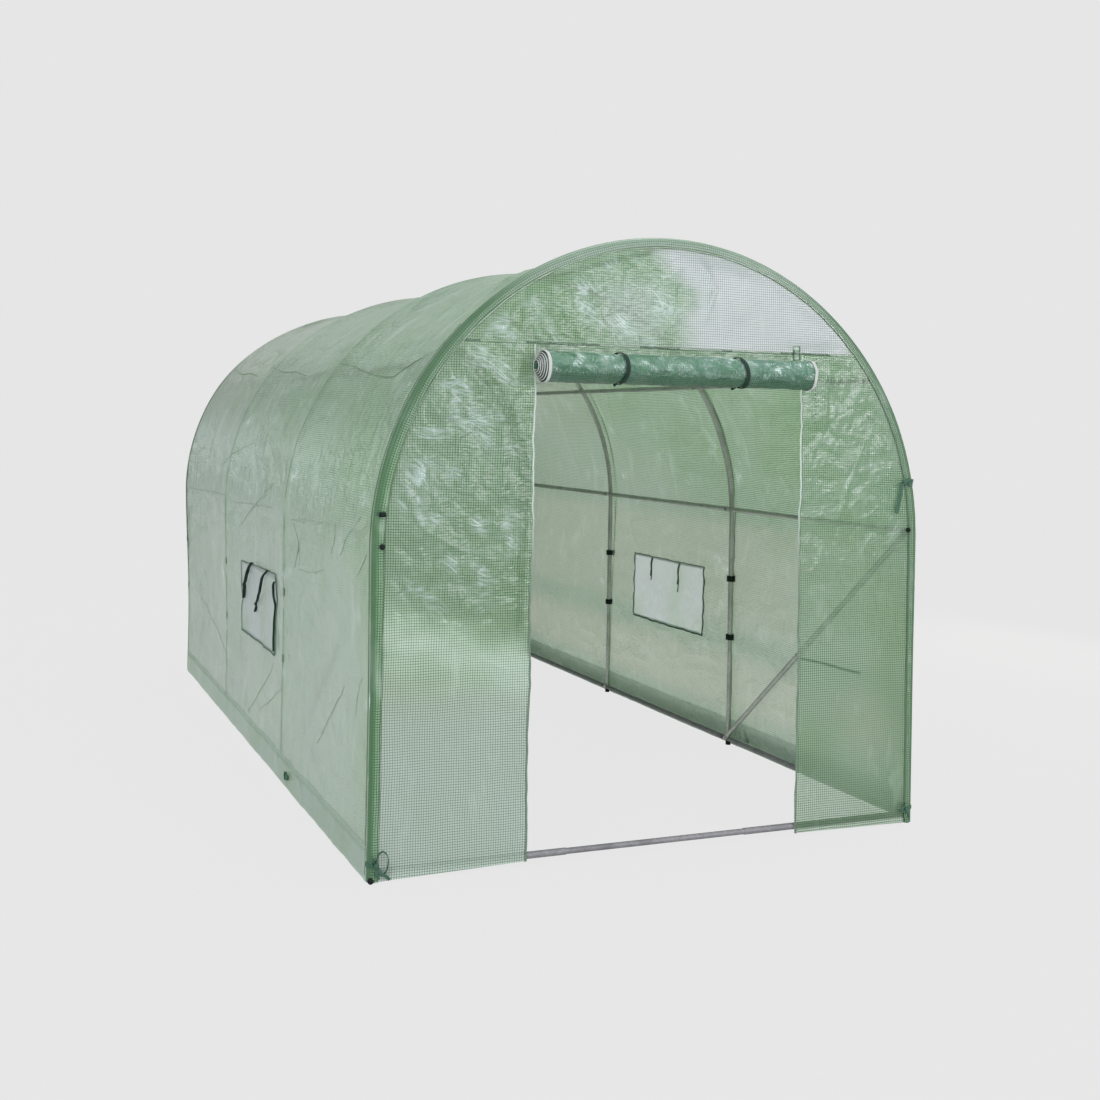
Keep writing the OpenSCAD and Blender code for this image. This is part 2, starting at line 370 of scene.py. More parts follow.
# woven film: thin yarns laid in squares between two clear skins
filmLook = {
    "pitch": 0.008, "yarnHalf": 0.00120, "soft": 0.0005, "wander": 0.008, "relief": 0.00007,
    "pane": (0.47, 0.63, 0.47), "yarn": (0.070, 0.165, 0.078), "cloudColour": (0.86, 0.93, 0.80),
    "scuff": 0.22, "scuffColour": (0.56, 0.66, 0.58),
    "veils": 1.0, "veilColour": (0.465, 0.535, 0.495),          # an even haze
    "bloomColour": (0.685, 0.685, 0.79),                        # a broad painted sheen and painted reflection, made dark on some films for painted shade
    "milkyColour": (0.76, 0.88, 0.89), "creaseShadeColour": (0.12, 0.24, 0.13),     # white of stress and painted highlight on creases, and the painted shade beside them
    "clearPane": 0.64, "clearYarn": 0.07, "mostClear": 0.485, "tint": (0.93, 0.985, 0.95),
    "glow": 0.50, "roughness": 0.16, "specular": 1.0, "crinkle": 1.0, "finer": 1.0,
}
hairlineLook = {     # scale, turn, stretch and width of the two runs of fine creases and of the painted shade line beside them
    "long": (34.0, -0.40, 8.0, 0.060), "short": (25.0, -0.78, 6.6, 0.040), "shade": (34.0, -0.40, 8.0, 0.050),
    "shadeShift": (0.0025, 0.0042, 0), "bendScale": 6.5, "bend": 0.075, "patchScale": 12.0,
}
wrinkleLayers = [    # scale, spread, turn and height of the broad, middle and fine wrinkles
    (5.5, (0.55, 1.25, 1), 0.45, 0.020), (15.0, (1.2, 0.6, 1), 0.5, 0.0095), (38.0, (0.6, 1.2, 1), 0.9, 0.0042),
]


def creases(tree, place, scale, spread, turn):       # planes that meet in sharp lines, as crumpled film has
    wave = noise(tree, stretched(tree, place, spread, turn), scale, 1.0, 0.45, True)
    return calc(tree, "ABSOLUTE", calc(tree, "SUBTRACT", wave, 0.5))


def hairlines(tree, place, fine, run, offset=(0, 0, 0)):        # thin lines running mostly one way
    scale, turn, long, width = run
    way = firstOut(tree, "ShaderNodeMapping", {"vector_type": "TEXTURE"},
              {"Vector": place, "Location": offset, "Rotation": (0, 0, turn), "Scale": (long, 0.8, 1.0)})
    wave = calc(tree, "SUBTRACT", noise(tree, way, scale * fine, 1.0, 0.45, True), 0.5)
    return ramp(tree, calc(tree, "ABSOLUTE", wave), 0.0, width, 1.0, 0.0)


def yarnGrid(tree, look, cloth):     # 1 on the yarns and 0 on the panes between them
    drift = noise(tree, cloth, 5.0, 1.0, flat=True, out="Color")
    split = add(tree, "ShaderNodeSeparateXYZ", {}, {0: shifted(tree, cloth, drift, look["wander"])})
    low, high = look["yarnHalf"] - look["soft"], look["yarnHalf"] + look["soft"]
    yarns = [ramp(tree, calc(tree, "PINGPONG", split.outputs[k], look["pitch"] / 2), low, high, 1.0, 0.0) for k in (0, 1)]
    return calc(tree, "MAXIMUM", *yarns)


def creaseWhiteAndShade(tree, look, cloth, grid, colour, milky, lean):     # fine creases: white lines of stress whitening and painted highlight, each with a painted shade line beside it
    fine = look["finer"] ** 0.5
    bent = noise(tree, cloth, hairlineLook["bendScale"] * fine, 0.0, flat=True, out="Color")
    flow = shifted(tree, cloth, bent, hairlineLook["bend"] / fine)
    flow = firstOut(tree, "ShaderNodeVectorRotate", {"rotation_type": "Z_AXIS"}, {"Vector": flow, "Angle": lean})
    lines = calc(tree, "MAXIMUM", *[hairlines(tree, flow, fine, hairlineLook[run]) for run in ("long", "short")])
    shades = hairlines(tree, flow, fine, hairlineLook["shade"], hairlineLook["shadeShift"])
    patchy = ramp(tree, noise(tree, flow, hairlineLook["patchScale"] * fine, 2.0, 0.55, True), 0.38, 0.60)
    paintedShadeShare = times(tree, times(tree, shades, patchy), calc(tree, "MINIMUM", times(tree, milky, 0.55), 0.5))
    colour = blendColour(tree, paintedShadeShare, colour, look["creaseShadeColour"])
    streak = plus(tree, times(tree, lines, patchy, 1.15), times(tree, patchy, 0.26))
    whiteAndHighlightShare = times(tree, milky, plus(tree, streak, 0.08))
    whiteAndHighlightShare = times(tree, whiteAndHighlightShare, slope(tree, grid, 1.0, 0.45))
    return blendColour(tree, calc(tree, "MINIMUM", whiteAndHighlightShare, 0.9), colour, look["milkyColour"])


def seeThroughShare(tree, look, grid, veil, bloom, bare):       # how much passes straight through
    clear = slope(tree, grid, look["clearPane"], look["clearYarn"])
    clear = times(tree, clear, slope(tree, veil, 1.0, 0.34))
    closed = calc(tree, "SUBTRACT", slope(tree, bare, 0.0, 1.0, -1.0, 0.0), times(tree, bloom, 0.7))
    clear = times(tree, clear, closed)
    shine = firstOut(tree, "ShaderNodeFresnel", {}, {"IOR": 1.8})
    clear = times(tree, clear, calc(tree, "POWER", calc(tree, "SUBTRACT", 1.0, shine), 3.0))
    clear = plus(tree, clear, slope(tree, bare, 0.0, 0.9))
    return calc(tree, "MINIMUM", clear, look["mostClear"])


def filmMaterial(name, changes):
    look = {**filmLook, **changes}
    material, tree = newMaterial(name, look["yarn"])
    cloth = firstOut(tree, "ShaderNodeUVMap", {"uv_map": "cloth"})
    crumple, veil, milky, bloom, bare, lean = [
        add(tree, "ShaderNodeAttribute", {"attribute_name": word}).outputs["Fac"]
        for word in ("crumple", "veil", "milky", "bloom", "bare", "lean")]
    grid = yarnGrid(tree, look, cloth)
    cloud = noise(tree, cloth, 2.1, 2.0, 0.6, True)
    haze = noise(tree, stretched(tree, cloth, (1.0, 0.35, 1.0), 0.5), 9.0, 3.0, 0.65, True)
    colour = blendColour(tree, grid, look["pane"], look["yarn"])
    clouded = blendColour(tree, 1.0, colour, look["cloudColour"], "MULTIPLY")
    colour = blendColour(tree, ramp(tree, cloud, 0.35, 0.68), colour, clouded)
    colour = blendColour(tree, times(tree, ramp(tree, haze, 0.56, 0.74), look["scuff"]), colour, look["scuffColour"])
    hazed = times(tree, veil, slope(tree, grid, 0.82 * look["veils"], 0.30 * look["veils"]))
    colour = blendColour(tree, hazed, colour, look["veilColour"])
    # a broad colour painted as sheen and reflection where it is pale, and as shade where it is dark
    bloomed = times(tree, bloom, slope(tree, grid, 0.95, 0.30))
    colour = blendColour(tree, bloomed, colour, look["bloomColour"])
    colour = creaseWhiteAndShade(tree, look, cloth, grid, colour, milky, lean)
    finer = look["finer"]
    layers = [times(tree, creases(tree, cloth, scale * finer, spread, turn), deep * look["crinkle"] / finer)
              for scale, spread, turn, deep in wrinkleLayers]
    wrinkles = times(tree, plus(tree, *layers), crumple)
    normal = bumped(tree, plus(tree, wrinkles, times(tree, grid, look["relief"])), 1.0)
    uneven = plus(tree, times(tree, grid, 0.10), times(tree, haze, 0.12))
    skinShader = principled(tree, {"Base Color": colour, "Roughness": plus(tree, look["roughness"], uneven), "Normal": normal,
                                   "IOR": 1.5, "Specular IOR Level": look["specular"]})
    glow = firstOut(tree, "ShaderNodeBsdfTranslucent", {}, {"Color": colour, "Normal": normal})
    body = mixShaders(tree, times(tree, look["glow"], slope(tree, bare, 0.08, 1.0, -1.0, 0.0)), skinShader, glow)
    if look["clearPane"] > 0:
        seeThrough = firstOut(tree, "ShaderNodeBsdfTransparent", {}, {"Color": (*look["tint"], 1)})
        body = mixShaders(tree, seeThroughShare(tree, look, grid, veil, bloom, bare), body, seeThrough)
    output(tree, body)
    return material


# pale colours painted as light on the cover's rear roof and right wall, and a pale beige spot low on the right panel
greenFilm = filmMaterial("woven green film", {"bloomColour": (0.58, 0.57, 0.46)})
coverFilm = filmMaterial("woven green film of the cover", {"bloomColour": (0.60, 0.60, 0.54)})
frontFilm = filmMaterial("woven green film of the front", {
    "pane": (0.545, 0.735, 0.515), "yarn": (0.060, 0.155, 0.068), "roughness": 0.23, "crinkle": 0.85})
hemFilm = filmMaterial("hem film", {
    "pane": (0.52, 0.64, 0.56), "yarn": (0.36, 0.49, 0.41), "clearPane": 0.60, "clearYarn": 0.40,
    "tint": (0.97, 1.0, 0.98), "glow": 0.25, "crinkle": 0.6})
# its broad colour is dark: painted shade on the underside of the roll
rolledFilm = filmMaterial("rolled film", {
    "pane": (0.090, 0.225, 0.155), "yarn": (0.055, 0.145, 0.095), "bloomColour": (0.026, 0.085, 0.045),
    "clearPane": 0.0, "glow": 0.08, "crinkle": 3.0, "finer": 4.0, "roughness": 0.17, "specular": 0.55, "scuff": 0.15})
paleFilm = filmMaterial("pale insect net", {
    "pitch": 0.0026, "yarnHalf": 0.0005, "soft": 0.0003, "relief": 0.0001, "pane": (0.54, 0.585, 0.60),
    "yarn": (0.52, 0.58, 0.59), "veilColour": (0.60, 0.66, 0.69), "clearPane": 0.30, "clearYarn": 0.06,
    "tint": (0.95, 1.0, 0.97), "crinkle": 0.7, "scuff": 0.12})
seamFilm = filmMaterial("doubled film", {
    "pane": (0.36, 0.51, 0.37), "yarn": (0.14, 0.27, 0.15), "clearPane": 0.20, "clearYarn": 0.05})
# darker where the film is doubled round the tube, and darker still as painted shade of the tube; also used for lines
# painted as shade on the roof
sleeveAndShadeFilm = filmMaterial("film over the end hoops with painted shade", {
    "pane": (0.19, 0.32, 0.195), "yarn": (0.045, 0.115, 0.052), "veils": 0.8, "bloomColour": (0.050, 0.125, 0.058),
    "clearPane": 0.05, "clearYarn": 0.02, "crinkle": 0.45, "roughness": 0.36, "specular": 0.4, "glow": 0.2})
# thin strips of darker film painted as shade over hoops, purlin and folds
shadeStripFilm = filmMaterial("film strips painted as shade", {
    "pane": (0.27, 0.385, 0.30), "yarn": (0.20, 0.31, 0.22), "clearPane": 0.0, "glow": 0.1})
# nearly black-green film for welts and lines painted as shade, and for marks where collars show through
shadedFilm = filmMaterial("dark film painted as shade", {
    "pane": (0.085, 0.185, 0.085), "yarn": (0.030, 0.080, 0.034), "clearPane": 0.0, "glow": 0.1})


def clothMaterial(name, look):       # woven tape, webbing and thread
    material, tree = newMaterial(name, look["colour"])
    place = ownPlace(tree)
    weave = add(tree, "ShaderNodeTexWave", {"wave_type": "BANDS", "bands_direction": "DIAGONAL"},
                {"Vector": place, "Scale": look["ribs"], "Distortion": 1.5, "Detail": 2.0}).outputs["Fac"]
    dust = noise(tree, place, 40.0, 4.0, 0.6)
    colour = blendColour(tree, weave, look["colour"], look["rib"])
    colour = blendColour(tree, ramp(tree, dust, 0.5, 0.8, 0.0, 0.35), colour, look["worn"])
    if "low" in look:                # darker towards the ground
        height = add(tree, "ShaderNodeSeparateXYZ", {}, {0: place}).outputs[2]
        colour = blendColour(tree, ramp(tree, height, 1.25, 0.80), colour, look["low"])
    rough = slope(tree, dust, look["roughness"] - 0.08, look["roughness"] + 0.08, 0.3, 0.7)
    normal = bumped(tree, plus(tree, weave, times(tree, dust, 0.5)), look["relief"])
    output(tree, principled(tree, {"Base Color": colour, "Specular IOR Level": 0.2, "Roughness": rough, "Normal": normal}))
    return material


edgeTape = clothMaterial("pale zip edge", {
    "colour": (0.56, 0.63, 0.58), "rib": (0.44, 0.52, 0.46), "worn": (0.34, 0.43, 0.36), "low": (0.155, 0.215, 0.165),
    "ribs": 260.0, "relief": 0.0003, "roughness": 0.6})
zipTape = clothMaterial("white zip tape", {
    "colour": (0.56, 0.57, 0.56), "rib": (0.42, 0.44, 0.42), "worn": (0.33, 0.36, 0.33),
    "ribs": 260.0, "relief": 0.0003, "roughness": 0.7})
greenWebbing = clothMaterial("dark green webbing", {
    "colour": (0.008, 0.026, 0.019), "rib": (0.013, 0.036, 0.026), "worn": (0.026, 0.055, 0.042),
    "ribs": 300.0, "relief": 0.0004, "roughness": 0.55})
tieWebbing = clothMaterial("green ties", {
    "colour": (0.040, 0.100, 0.066), "rib": (0.068, 0.148, 0.102), "worn": (0.13, 0.22, 0.165),
    "ribs": 300.0, "relief": 0.0004, "roughness": 0.6})
bindingTape = clothMaterial("green binding", {
    "colour": (0.055, 0.115, 0.075), "rib": (0.085, 0.155, 0.105), "worn": (0.16, 0.24, 0.18),
    "ribs": 240.0, "relief": 0.0004, "roughness": 0.6})
paleThread = clothMaterial("pale thread", {
    "colour": (0.62, 0.70, 0.62), "rib": (0.45, 0.54, 0.46), "worn": (0.38, 0.46, 0.38),
    "ribs": 900.0, "relief": 0.0002, "roughness": 0.65})
darkThread = clothMaterial("dark thread", {
    "colour": (0.03, 0.085, 0.05), "rib": (0.045, 0.11, 0.065), "worn": (0.08, 0.15, 0.10),
    "ribs": 900.0, "relief": 0.0002, "roughness": 0.65})


def metalMaterial(name, look):       # zinc with its spangle, drawn lines and stains
    material, tree = newMaterial(name, look["colour"])
    place = ownPlace(tree)
    cells = add(tree, "ShaderNodeTexVoronoi", {"feature": "F1"}, {"Vector": place, "Scale": look["spangle"]})
    spangle = cells.outputs["Color"]
    flake = firstOut(tree, "ShaderNodeSeparateColor", {}, {0: spangle})
    cloud = noise(tree, place, 14.0, 5.0, 0.62)
    drawn = noise(tree, stretched(tree, place, (1.0, 0.06, 1.0)), 90.0, 2.0)
    stain = noise(tree, place, 33.0, 6.0, 0.7)
    colour = blendColour(tree, flake, look["colour"], look["bright"])
    colour = blendColour(tree, ramp(tree, cloud, 0.42, 0.70, 0.0, 0.6), colour, look["dull"])
    colour = blendColour(tree, ramp(tree, stain, 0.64, 0.78, 0.0, 0.55), colour, look["stain"])
    uneven = plus(tree, times(tree, cloud, 0.16), times(tree, flake, 0.08))
    height = plus(tree, times(tree, flake, 0.4), times(tree, drawn, 0.6))
    output(tree, principled(tree, {
        "Base Color": colour, "Metallic": slope(tree, stain, look["metallic"], look["metallic"] - 0.25, 0.6, 0.8),
        "Roughness": plus(tree, look["roughness"], uneven), "Normal": bumped(tree, height, 0.00015)}))
    return material


galvanised = metalMaterial("galvanised steel", {
    "colour": (0.38, 0.41, 0.37), "bright": (0.47, 0.50, 0.46), "dull": (0.28, 0.31, 0.27), "stain": (0.31, 0.33, 0.29),
    "spangle": 130.0, "roughness": 0.42, "metallic": 0.85})
groundRail = metalMaterial("rail on the ground", {
    "colour": (0.20, 0.195, 0.21), "bright": (0.27, 0.265, 0.28), "dull": (0.14, 0.14, 0.15), "stain": (0.10, 0.095, 0.09),
    "spangle": 130.0, "roughness": 0.58, "metallic": 0.55})
zincPlate = metalMaterial("zinc plated bolts", {
    "colour": (0.52, 0.54, 0.52), "bright": (0.62, 0.63, 0.60), "dull": (0.36, 0.38, 0.35), "stain": (0.30, 0.28, 0.20),
    "spangle": 700.0, "roughness": 0.24, "metallic": 0.95})


def plasticMaterial(name, look):
    material, tree = newMaterial(name, look["colour"])
    place = ownPlace(tree)
    pebble = add(tree, "ShaderNodeTexVoronoi", {"feature": "SMOOTH_F1"},
                 {"Vector": place, "Scale": look["pebbles"], "Smoothness": 0.6}).outputs["Distance"]
    dust = noise(tree, place, 30.0, 5.0, 0.65)
    colour = blendColour(tree, ramp(tree, dust, 0.45, 0.8, 0.0, 0.6), look["colour"], look["dusty"])
    rough = slope(tree, dust, look["roughness"], look["roughness"] + 0.16, 0.3, 0.7)
    output(tree, principled(tree, {"Base Color": colour, "Specular IOR Level": look["specular"], "Roughness": rough,
                                   "Normal": bumped(tree, pebble, 0.0002)}))
    return material


blackPlastic = plasticMaterial("black plastic", {
    "colour": (0.008, 0.014, 0.010), "dusty": (0.014, 0.026, 0.018), "pebbles": 1400.0, "roughness": 0.58, "specular": 0.12})

frameMaterials = [(("base_rail",), groundRail), (("arch", "posts", "rail", "purlin", "brace"), galvanised),
                  (("collars", "caps"), blackPlastic)]
for node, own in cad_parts.items():
    fitting = [material for words, material in frameMaterials if any(word in node for word in words)]
    for spot in own.material_slots:
        if fitting:
            spot.material = fitting[0]
print("materials ready")


# the long cover: one sheet from the left ground edge over the hoops to the right ground edge

railZ = 0.03                  # height of the base rails' middle
purlinUp = 0.03               # height of the side purlins above the straight sides
cover = {
    "rowStep": 0.0155, "columnStep": 0.0150, "endWrap": 0.0158, "flange": 0.0165, "onPurlin": -0.0028, "onBrace": -0.0050,
    "loose": 0.005, "bulge": 0.024, "roofSag": 0.011, "wallSag": 0.005, "crumple": 0.0022, "hemLift": 0.0014,
}
arcLength = math.pi * archR
pathLength = 2 * wallTop + arcLength
shoulder = archR * math.radians(35)
supports = [railZ, wallTop + purlinUp, wallTop + shoulder, wallTop + arcLength / 2,
            wallTop + arcLength - shoulder, pathLength - wallTop - purlinUp, pathLength - railZ]
slackFolds = {"count": 210, "u": (hoopY[0], hoopY[3]), "v": (0.1, pathLength - 0.1), "angle": (55, 125),
              "length": (0.10, 0.42), "width": (0.012, 0.022), "depth": (0.0030, 0.0085)}
leftFolds = {"count": 110, "u": (hoopY[0], hoopY[3]), "v": (0.1, wallTop + 0.3), "angle": (20, 160),
             "length": (0.08, 0.30), "width": (0.012, 0.020), "depth": (0.0040, 0.0095)}
hoopPulls = {"count": 34, "from": 0.012, "reach": (0.08, 0.26), "lean": 0.8, "depth": (0.0025, 0.0070), "width": 0.013}


def onHoop(s):        # the hoop's middle line and the way out of it, by length along it from the left foot
    s = np.asarray(s, float)
    turn = np.clip((s - wallTop) / archR, 0, math.pi)
    out = np.stack([-np.cos(turn), np.zeros_like(s), np.sin(turn)], -1)
    line = out * archR
    line[..., 2] += wallTop + np.minimum(s - wallTop, 0) - np.maximum(s - wallTop - arcLength, 0)
    return line, out


def fromFoot(s, foot):      # the same length counted from the left foot, 0, or the right foot, 1
    return pathLength - s if foot else s


def wallDepth(y, s):        # folds of the cover, out of its own surface
    fromTop = np.abs(s - pathLength / 2)
    wall = smooth(pathLength / 2 - wallTop - 0.25, pathLength / 2 - wallTop + 0.1, fromTop)
    bend = creased(y, s * 0.55, 0.21, 5) * (0.8 + 0.7 * wall)
    soft = softNoise(y / 0.5, s / 0.42, 9) * 0.0035 + softNoise(y / 0.19, s / 0.33, 10) * 0.0018
    folds = scatterFolds(y, s, slackFolds, 21)
    folds += scatterFolds(y, s, leftFolds, 22)
    for k, h in enumerate(hoopY):      # pulls running off each hoop
        rng = np.random.default_rng(40 + k)
        for _ in range(hoopPulls["count"]):
            side = rng.choice([-1, 1])
            start = rng.uniform(0.15, pathLength - 0.15)
            reach = rng.uniform(*hoopPulls["reach"])
            lean = rng.uniform(-hoopPulls["lean"], hoopPulls["lean"]) * reach
            pull = [(h + side * hoopPulls["from"], start), (h + side * reach, start + lean)]
            folds += fold(y, s, pull, rng.uniform(*hoopPulls["depth"]), hoopPulls["width"])
    return cover["crumple"] * bend + soft + folds


def looseFilm(y, foot):     # how far the film stands off its hoops over the shoulders
    close = smooth(wallTop - 0.5, wallTop + 0.1, foot) * (1 - smooth(wallTop + 0.4, wallTop + 0.9, foot))
    wide = smooth(wallTop - 0.75, wallTop + 0.05, foot) * (1 - smooth(wallTop + 0.55, wallTop + 1.2, foot))
    return cover["loose"] * close + cover["bulge"] * wide * smooth(-0.3, 1.3, y)


def coverLift(y, s):        # how far the cover lies out from the hoops' middle line
    y, s = np.broadcast_arrays(np.asarray(y, float), np.asarray(s, float))
    away = np.min([np.abs(y - h) for h in hoopY], axis=0)
    part = np.clip((y - hoopY[0]) / bay, 0, 3)
    part = np.where(part >= 3, 0, part % 1)
    tent = np.clip(1 - np.abs(2 * part - 1) ** 3, 0, 1) * smooth(0, 0.02, away)
    span = np.zeros(s.shape)
    for a, b in zip(supports, supports[1:]):
        t = (s - a) / (b - a)
        inside = (t >= 0) & (t <= 1)
        onWall = b - a > 0.9 and (a < 0.5 or b > pathLength - 0.5)
        span = np.where(inside, cover["wallSag" if onWall else "roofSag"] * np.sin(math.pi * np.clip(t, 0, 1)), span)
    nearSupport = np.min([np.abs(s - a) for a in supports], axis=0)
    foot = np.minimum(s, pathLength - s)
    tent = tent * smooth(0.0, 0.42, foot)          # the foot of the film hangs straight
    loose = looseFilm(y, foot)
    lift = skin + loose - tent * (skin - cover["onPurlin"] + span)
    pinned = smooth(0.006, 0.05, away)
    lift = lift + wallDepth(y, s) * pinned * (0.35 + 0.65 * smooth(0, 0.06, nearSupport))
    floorLift = np.where(nearSupport < 0.012, cover["onPurlin"], -0.2)
    braceRun = (y - hoopY[0]) / bay
    braceZ = railZ + (1 - braceRun) * 1.0          # the brace leans from the second hoop's foot up to the first hoop
    for end in (0.0, pathLength):
        onBrace = (braceRun > -0.02) & (braceRun < 1.02) & (np.abs(np.abs(s - end) - braceZ) < 0.021)
        floorLift = np.where(onBrace, np.maximum(floorLift, cover["onBrace"]), floorLift)
    lift = np.clip(lift, floorLift, skin + 0.012 + loose)
    return np.where(away < 0.006, skin + loose, lift)


def coverPoint(y, s, more=0.0):     # more is out from the cover
    line, out = onHoop(s)
    place = line + out * (coverLift(y, s) + more)[..., None]
    place[..., 1] = y
    return place


# crumple is how creased a film is, veil how hazy, bloom how far it turns to a colour painted as broad sheen, reflection
# and shade, milky how white with stress and painted highlight, bare how see-through, and lean how far its fine creases
# turn
def setLook(piece, **values):
    for word, value in values.items():
        layer = piece.data.attributes.new(word, "FLOAT", "POINT")
        layer.data.foreach_set("value", np.broadcast_to(np.asarray(value, np.float32), len(piece.data.vertices)).copy())


def spotsOf(piece):
    spots = np.zeros(len(piece.data.vertices) * 3)
    piece.data.vertices.foreach_get("co", spots)
    return spots.reshape(-1, 3).T


rows = stations([filmBottom, windowLow.z, windowHigh.z, wallTop, pathLength - wallTop, pathLength - windowHigh.z,
                 pathLength - windowLow.z, pathLength - filmBottom], cover["rowStep"])
inner = stations([hoopY[0], windowLow.y, windowHigh.y, hoopY[3]], cover["columnStep"])
besideHoops = [h + d for h in hoopY[1:3] for d in (-0.012, -0.006, 0, 0.006, 0.012)]
inner = np.unique(np.concatenate([inner, besideHoops]))
yGrid, sGrid = np.meshgrid(inner, rows)
body = coverPoint(yGrid, sGrid)
bodyCloth = np.stack([yGrid, sGrid], -1)


def coverEnd(side):         # round the end hoop and back inside its line as a flange
    hoop, wrap = endHoop[side], cover["endWrap"]
    line, out = onHoop(rows)
    ragged = 0.16 * wobble(rows / 0.11, 3 + side)
    inward = cover["flange"] * (1 + ragged + 0.06 * wobble(rows / 0.021, 6))
    ripple = 0.0004 * softNoise(rows / 0.05, 0 * rows + 7, 8 + side)
    loose = looseFilm(hoop, np.minimum(rows, pathLength - rows))
    cols, run = [], []
    for share in (1.0, 0.66, 0.33, 0.0):
        place = line - out * (inward * share)[:, None]
        place[:, 1] = hoop + side * (wrap + ripple * (0.3 + share))
        cols.append(place)
        run.append(-share * inward - wrap * math.pi / 2)
    for degrees in (66, 44, 22):
        a = math.radians(degrees)
        r = skin + (wrap - skin) * math.sin(a)
        place = line + out * ((r + loose) * math.cos(a))[:, None]
        place[:, 1] = hoop + side * r * math.sin(a)
        cols.append(place)
        run.append(np.full(len(rows), -a * wrap))
    if side > 0:
        cols, run = cols[::-1], run[::-1]
    run = np.stack(run, 1)
    return np.stack(cols, 1), np.stack([hoop - side * run, np.repeat(rows[:, None], len(cols), 1)], -1)


frontEnd, frontCloth = coverEnd(-1)
rearEnd, rearCloth = coverEnd(1)
place = np.concatenate([frontEnd, body, rearEnd], 1)
cloth = np.concatenate([frontCloth, bodyCloth, rearCloth], 1)
midY = (cloth[:-1, :-1, 0] + cloth[:-1, 1:, 0]) / 2
midS = (cloth[:-1, :-1, 1] + cloth[1:, :-1, 1]) / 2
midZ = np.minimum(midS, pathLength - midS)
holes = (midY > windowLow.y) & (midY < windowHigh.y) & (midZ > windowLow.z) & (midZ < windowHigh.z)
sleeve = np.zeros(midY.shape, int)
sleeve[:, :frontEnd.shape[1]] = 1
sleeve[:, -rearEnd.shape[1]:] = 1
filmCover = buildPiece("filmCover", *gridShape(place, cloth, holes, flip=True),
                       materials=[coverFilm, sleeveAndShadeFilm], faceMaterial=sleeve[~holes])

x, y, z = spotsOf(filmCover)
back = (y - hoopY[0]) / (hoopY[3] - hoopY[0])
onEnd = (y < hoopY[0] - 0.003) | (y > hoopY[3] + 0.003)
turned = onEnd * (np.hypot(x, np.maximum(z - wallTop, 0)) > archR + 0.001)
wandering = z + 0.10 * softNoise(y / 0.35, z / 0.3, 78)
wallShare = 1 - smooth(wallTop - 0.60 + 0.65 * back, wallTop + 0.18 + 0.77 * back, wandering)
onWall = 1 - smooth(wallTop + 0.25, wallTop + 0.7, z)
nearHoop = sum(np.exp(-((y - h) / 0.16) ** 2) for h in hoopY)
onTube = 1 - 0.85 * sum(np.exp(-((y - h - 0.006) / 0.022) ** 2) for h in hoopY[1:3])
# white crease lines on the walls, stress whitening and painted highlight, mostly near the hoops
wallHighlightMask = smooth(0.35, 0.75, softNoise(y / 0.17, z / 0.12, 79)) * (0.30 + 0.75 * nearHoop * onWall) * smooth(0.15, 0.5, z)
paintedLightBands = (x > 0.9) * smooth(0.10, 0.22, z) * (1 - smooth(0.93, 1.01, z))         # two bands of painted light low on the right wall
paintedLightBands = paintedLightBands * (0.45 + 0.25 * (1 - smooth(0.32, 0.40, z)) - 0.48 * np.exp(-((z - 0.45) / 0.06) ** 2))
crown = smooth(1.70, 1.92, z)
frontHoop = np.exp(-((y - hoopY[0]) / 0.24) ** 2)
# the film turned round the end hoops is painted dark as shade, and the rear roof and the right wall's bands are painted
# light
setLook(filmCover, lean=0.70,
        bare=-0.80 * (x < 0) * (1 - smooth(1.2, 1.5, z)),
        bloom=0.9 * turned * (1 - 0.9 * crown) + (0.50 * smooth(0.45, 0.95, back) * smooth(1.3, 1.6, z) + paintedLightBands) * ~onEnd,
        crumple=(1.15 + 0.6 * softNoise(y / 0.6, z / 0.5, 77)) * np.where(onEnd, 0.4, 1),
        veil=np.where(onEnd, 0.8 * crown * (y < 0),
                      np.clip(0.65 * back + 0.95 * wallShare * (1 - 0.75 * frontHoop), 0, 1) * onTube),
        milky=0.75 * wallHighlightMask * ~onEnd)
finishPiece(filmCover, "green_film", "left_wall_film", "right_wall_film", "right_eaves_film", "right_shoulder_film",
            "right_crown_film", "left_crown_film", "left_shoulder_film", "left_eaves_film")
print("cover made,", len(filmCover.data.polygons), "faces")


# hems at the foot of both long walls

hemLook = {"below": 0.0015, "top": hemTop - 0.010, "step": 0.008, "wave": 0.0022}


def hemWave(y, foot):
    return hemLook["wave"] * wobble(y / 0.21, 61 + foot)


for name, node, foot in (("leftHem", "left_hem", 0), ("rightHem", "right_hem", 1)):
    hemRows = stations([filmBottom - hemLook["below"], hemLook["top"]], hemLook["step"])
    share = (hemRows - filmBottom) / (hemLook["top"] - filmBottom)
    yGrid, hGrid = np.meshgrid(inner, hemRows)
    hGrid = hGrid + hemWave(inner, foot)[None, :] * share[:, None]
    more = cover["hemLift"] + 0.0006 * softNoise(yGrid / 0.06, hGrid / 0.05, 64)
    place = coverPoint(yGrid, fromFoot(hGrid, foot), np.minimum(more, cover["hemLift"]))
    hem = buildPiece(name, *gridShape(place, np.stack([yGrid, hGrid], -1), flip=not foot), materials=[hemFilm])
    setLook(hem, crumple=0.6, bare=0.9 * smooth(hemTop - 0.045, hemTop - 0.012, spotsOf(hem)[2]))
    finishPiece(hem, "hem_film", node)
print("hems made")


# end panels, u across and v up

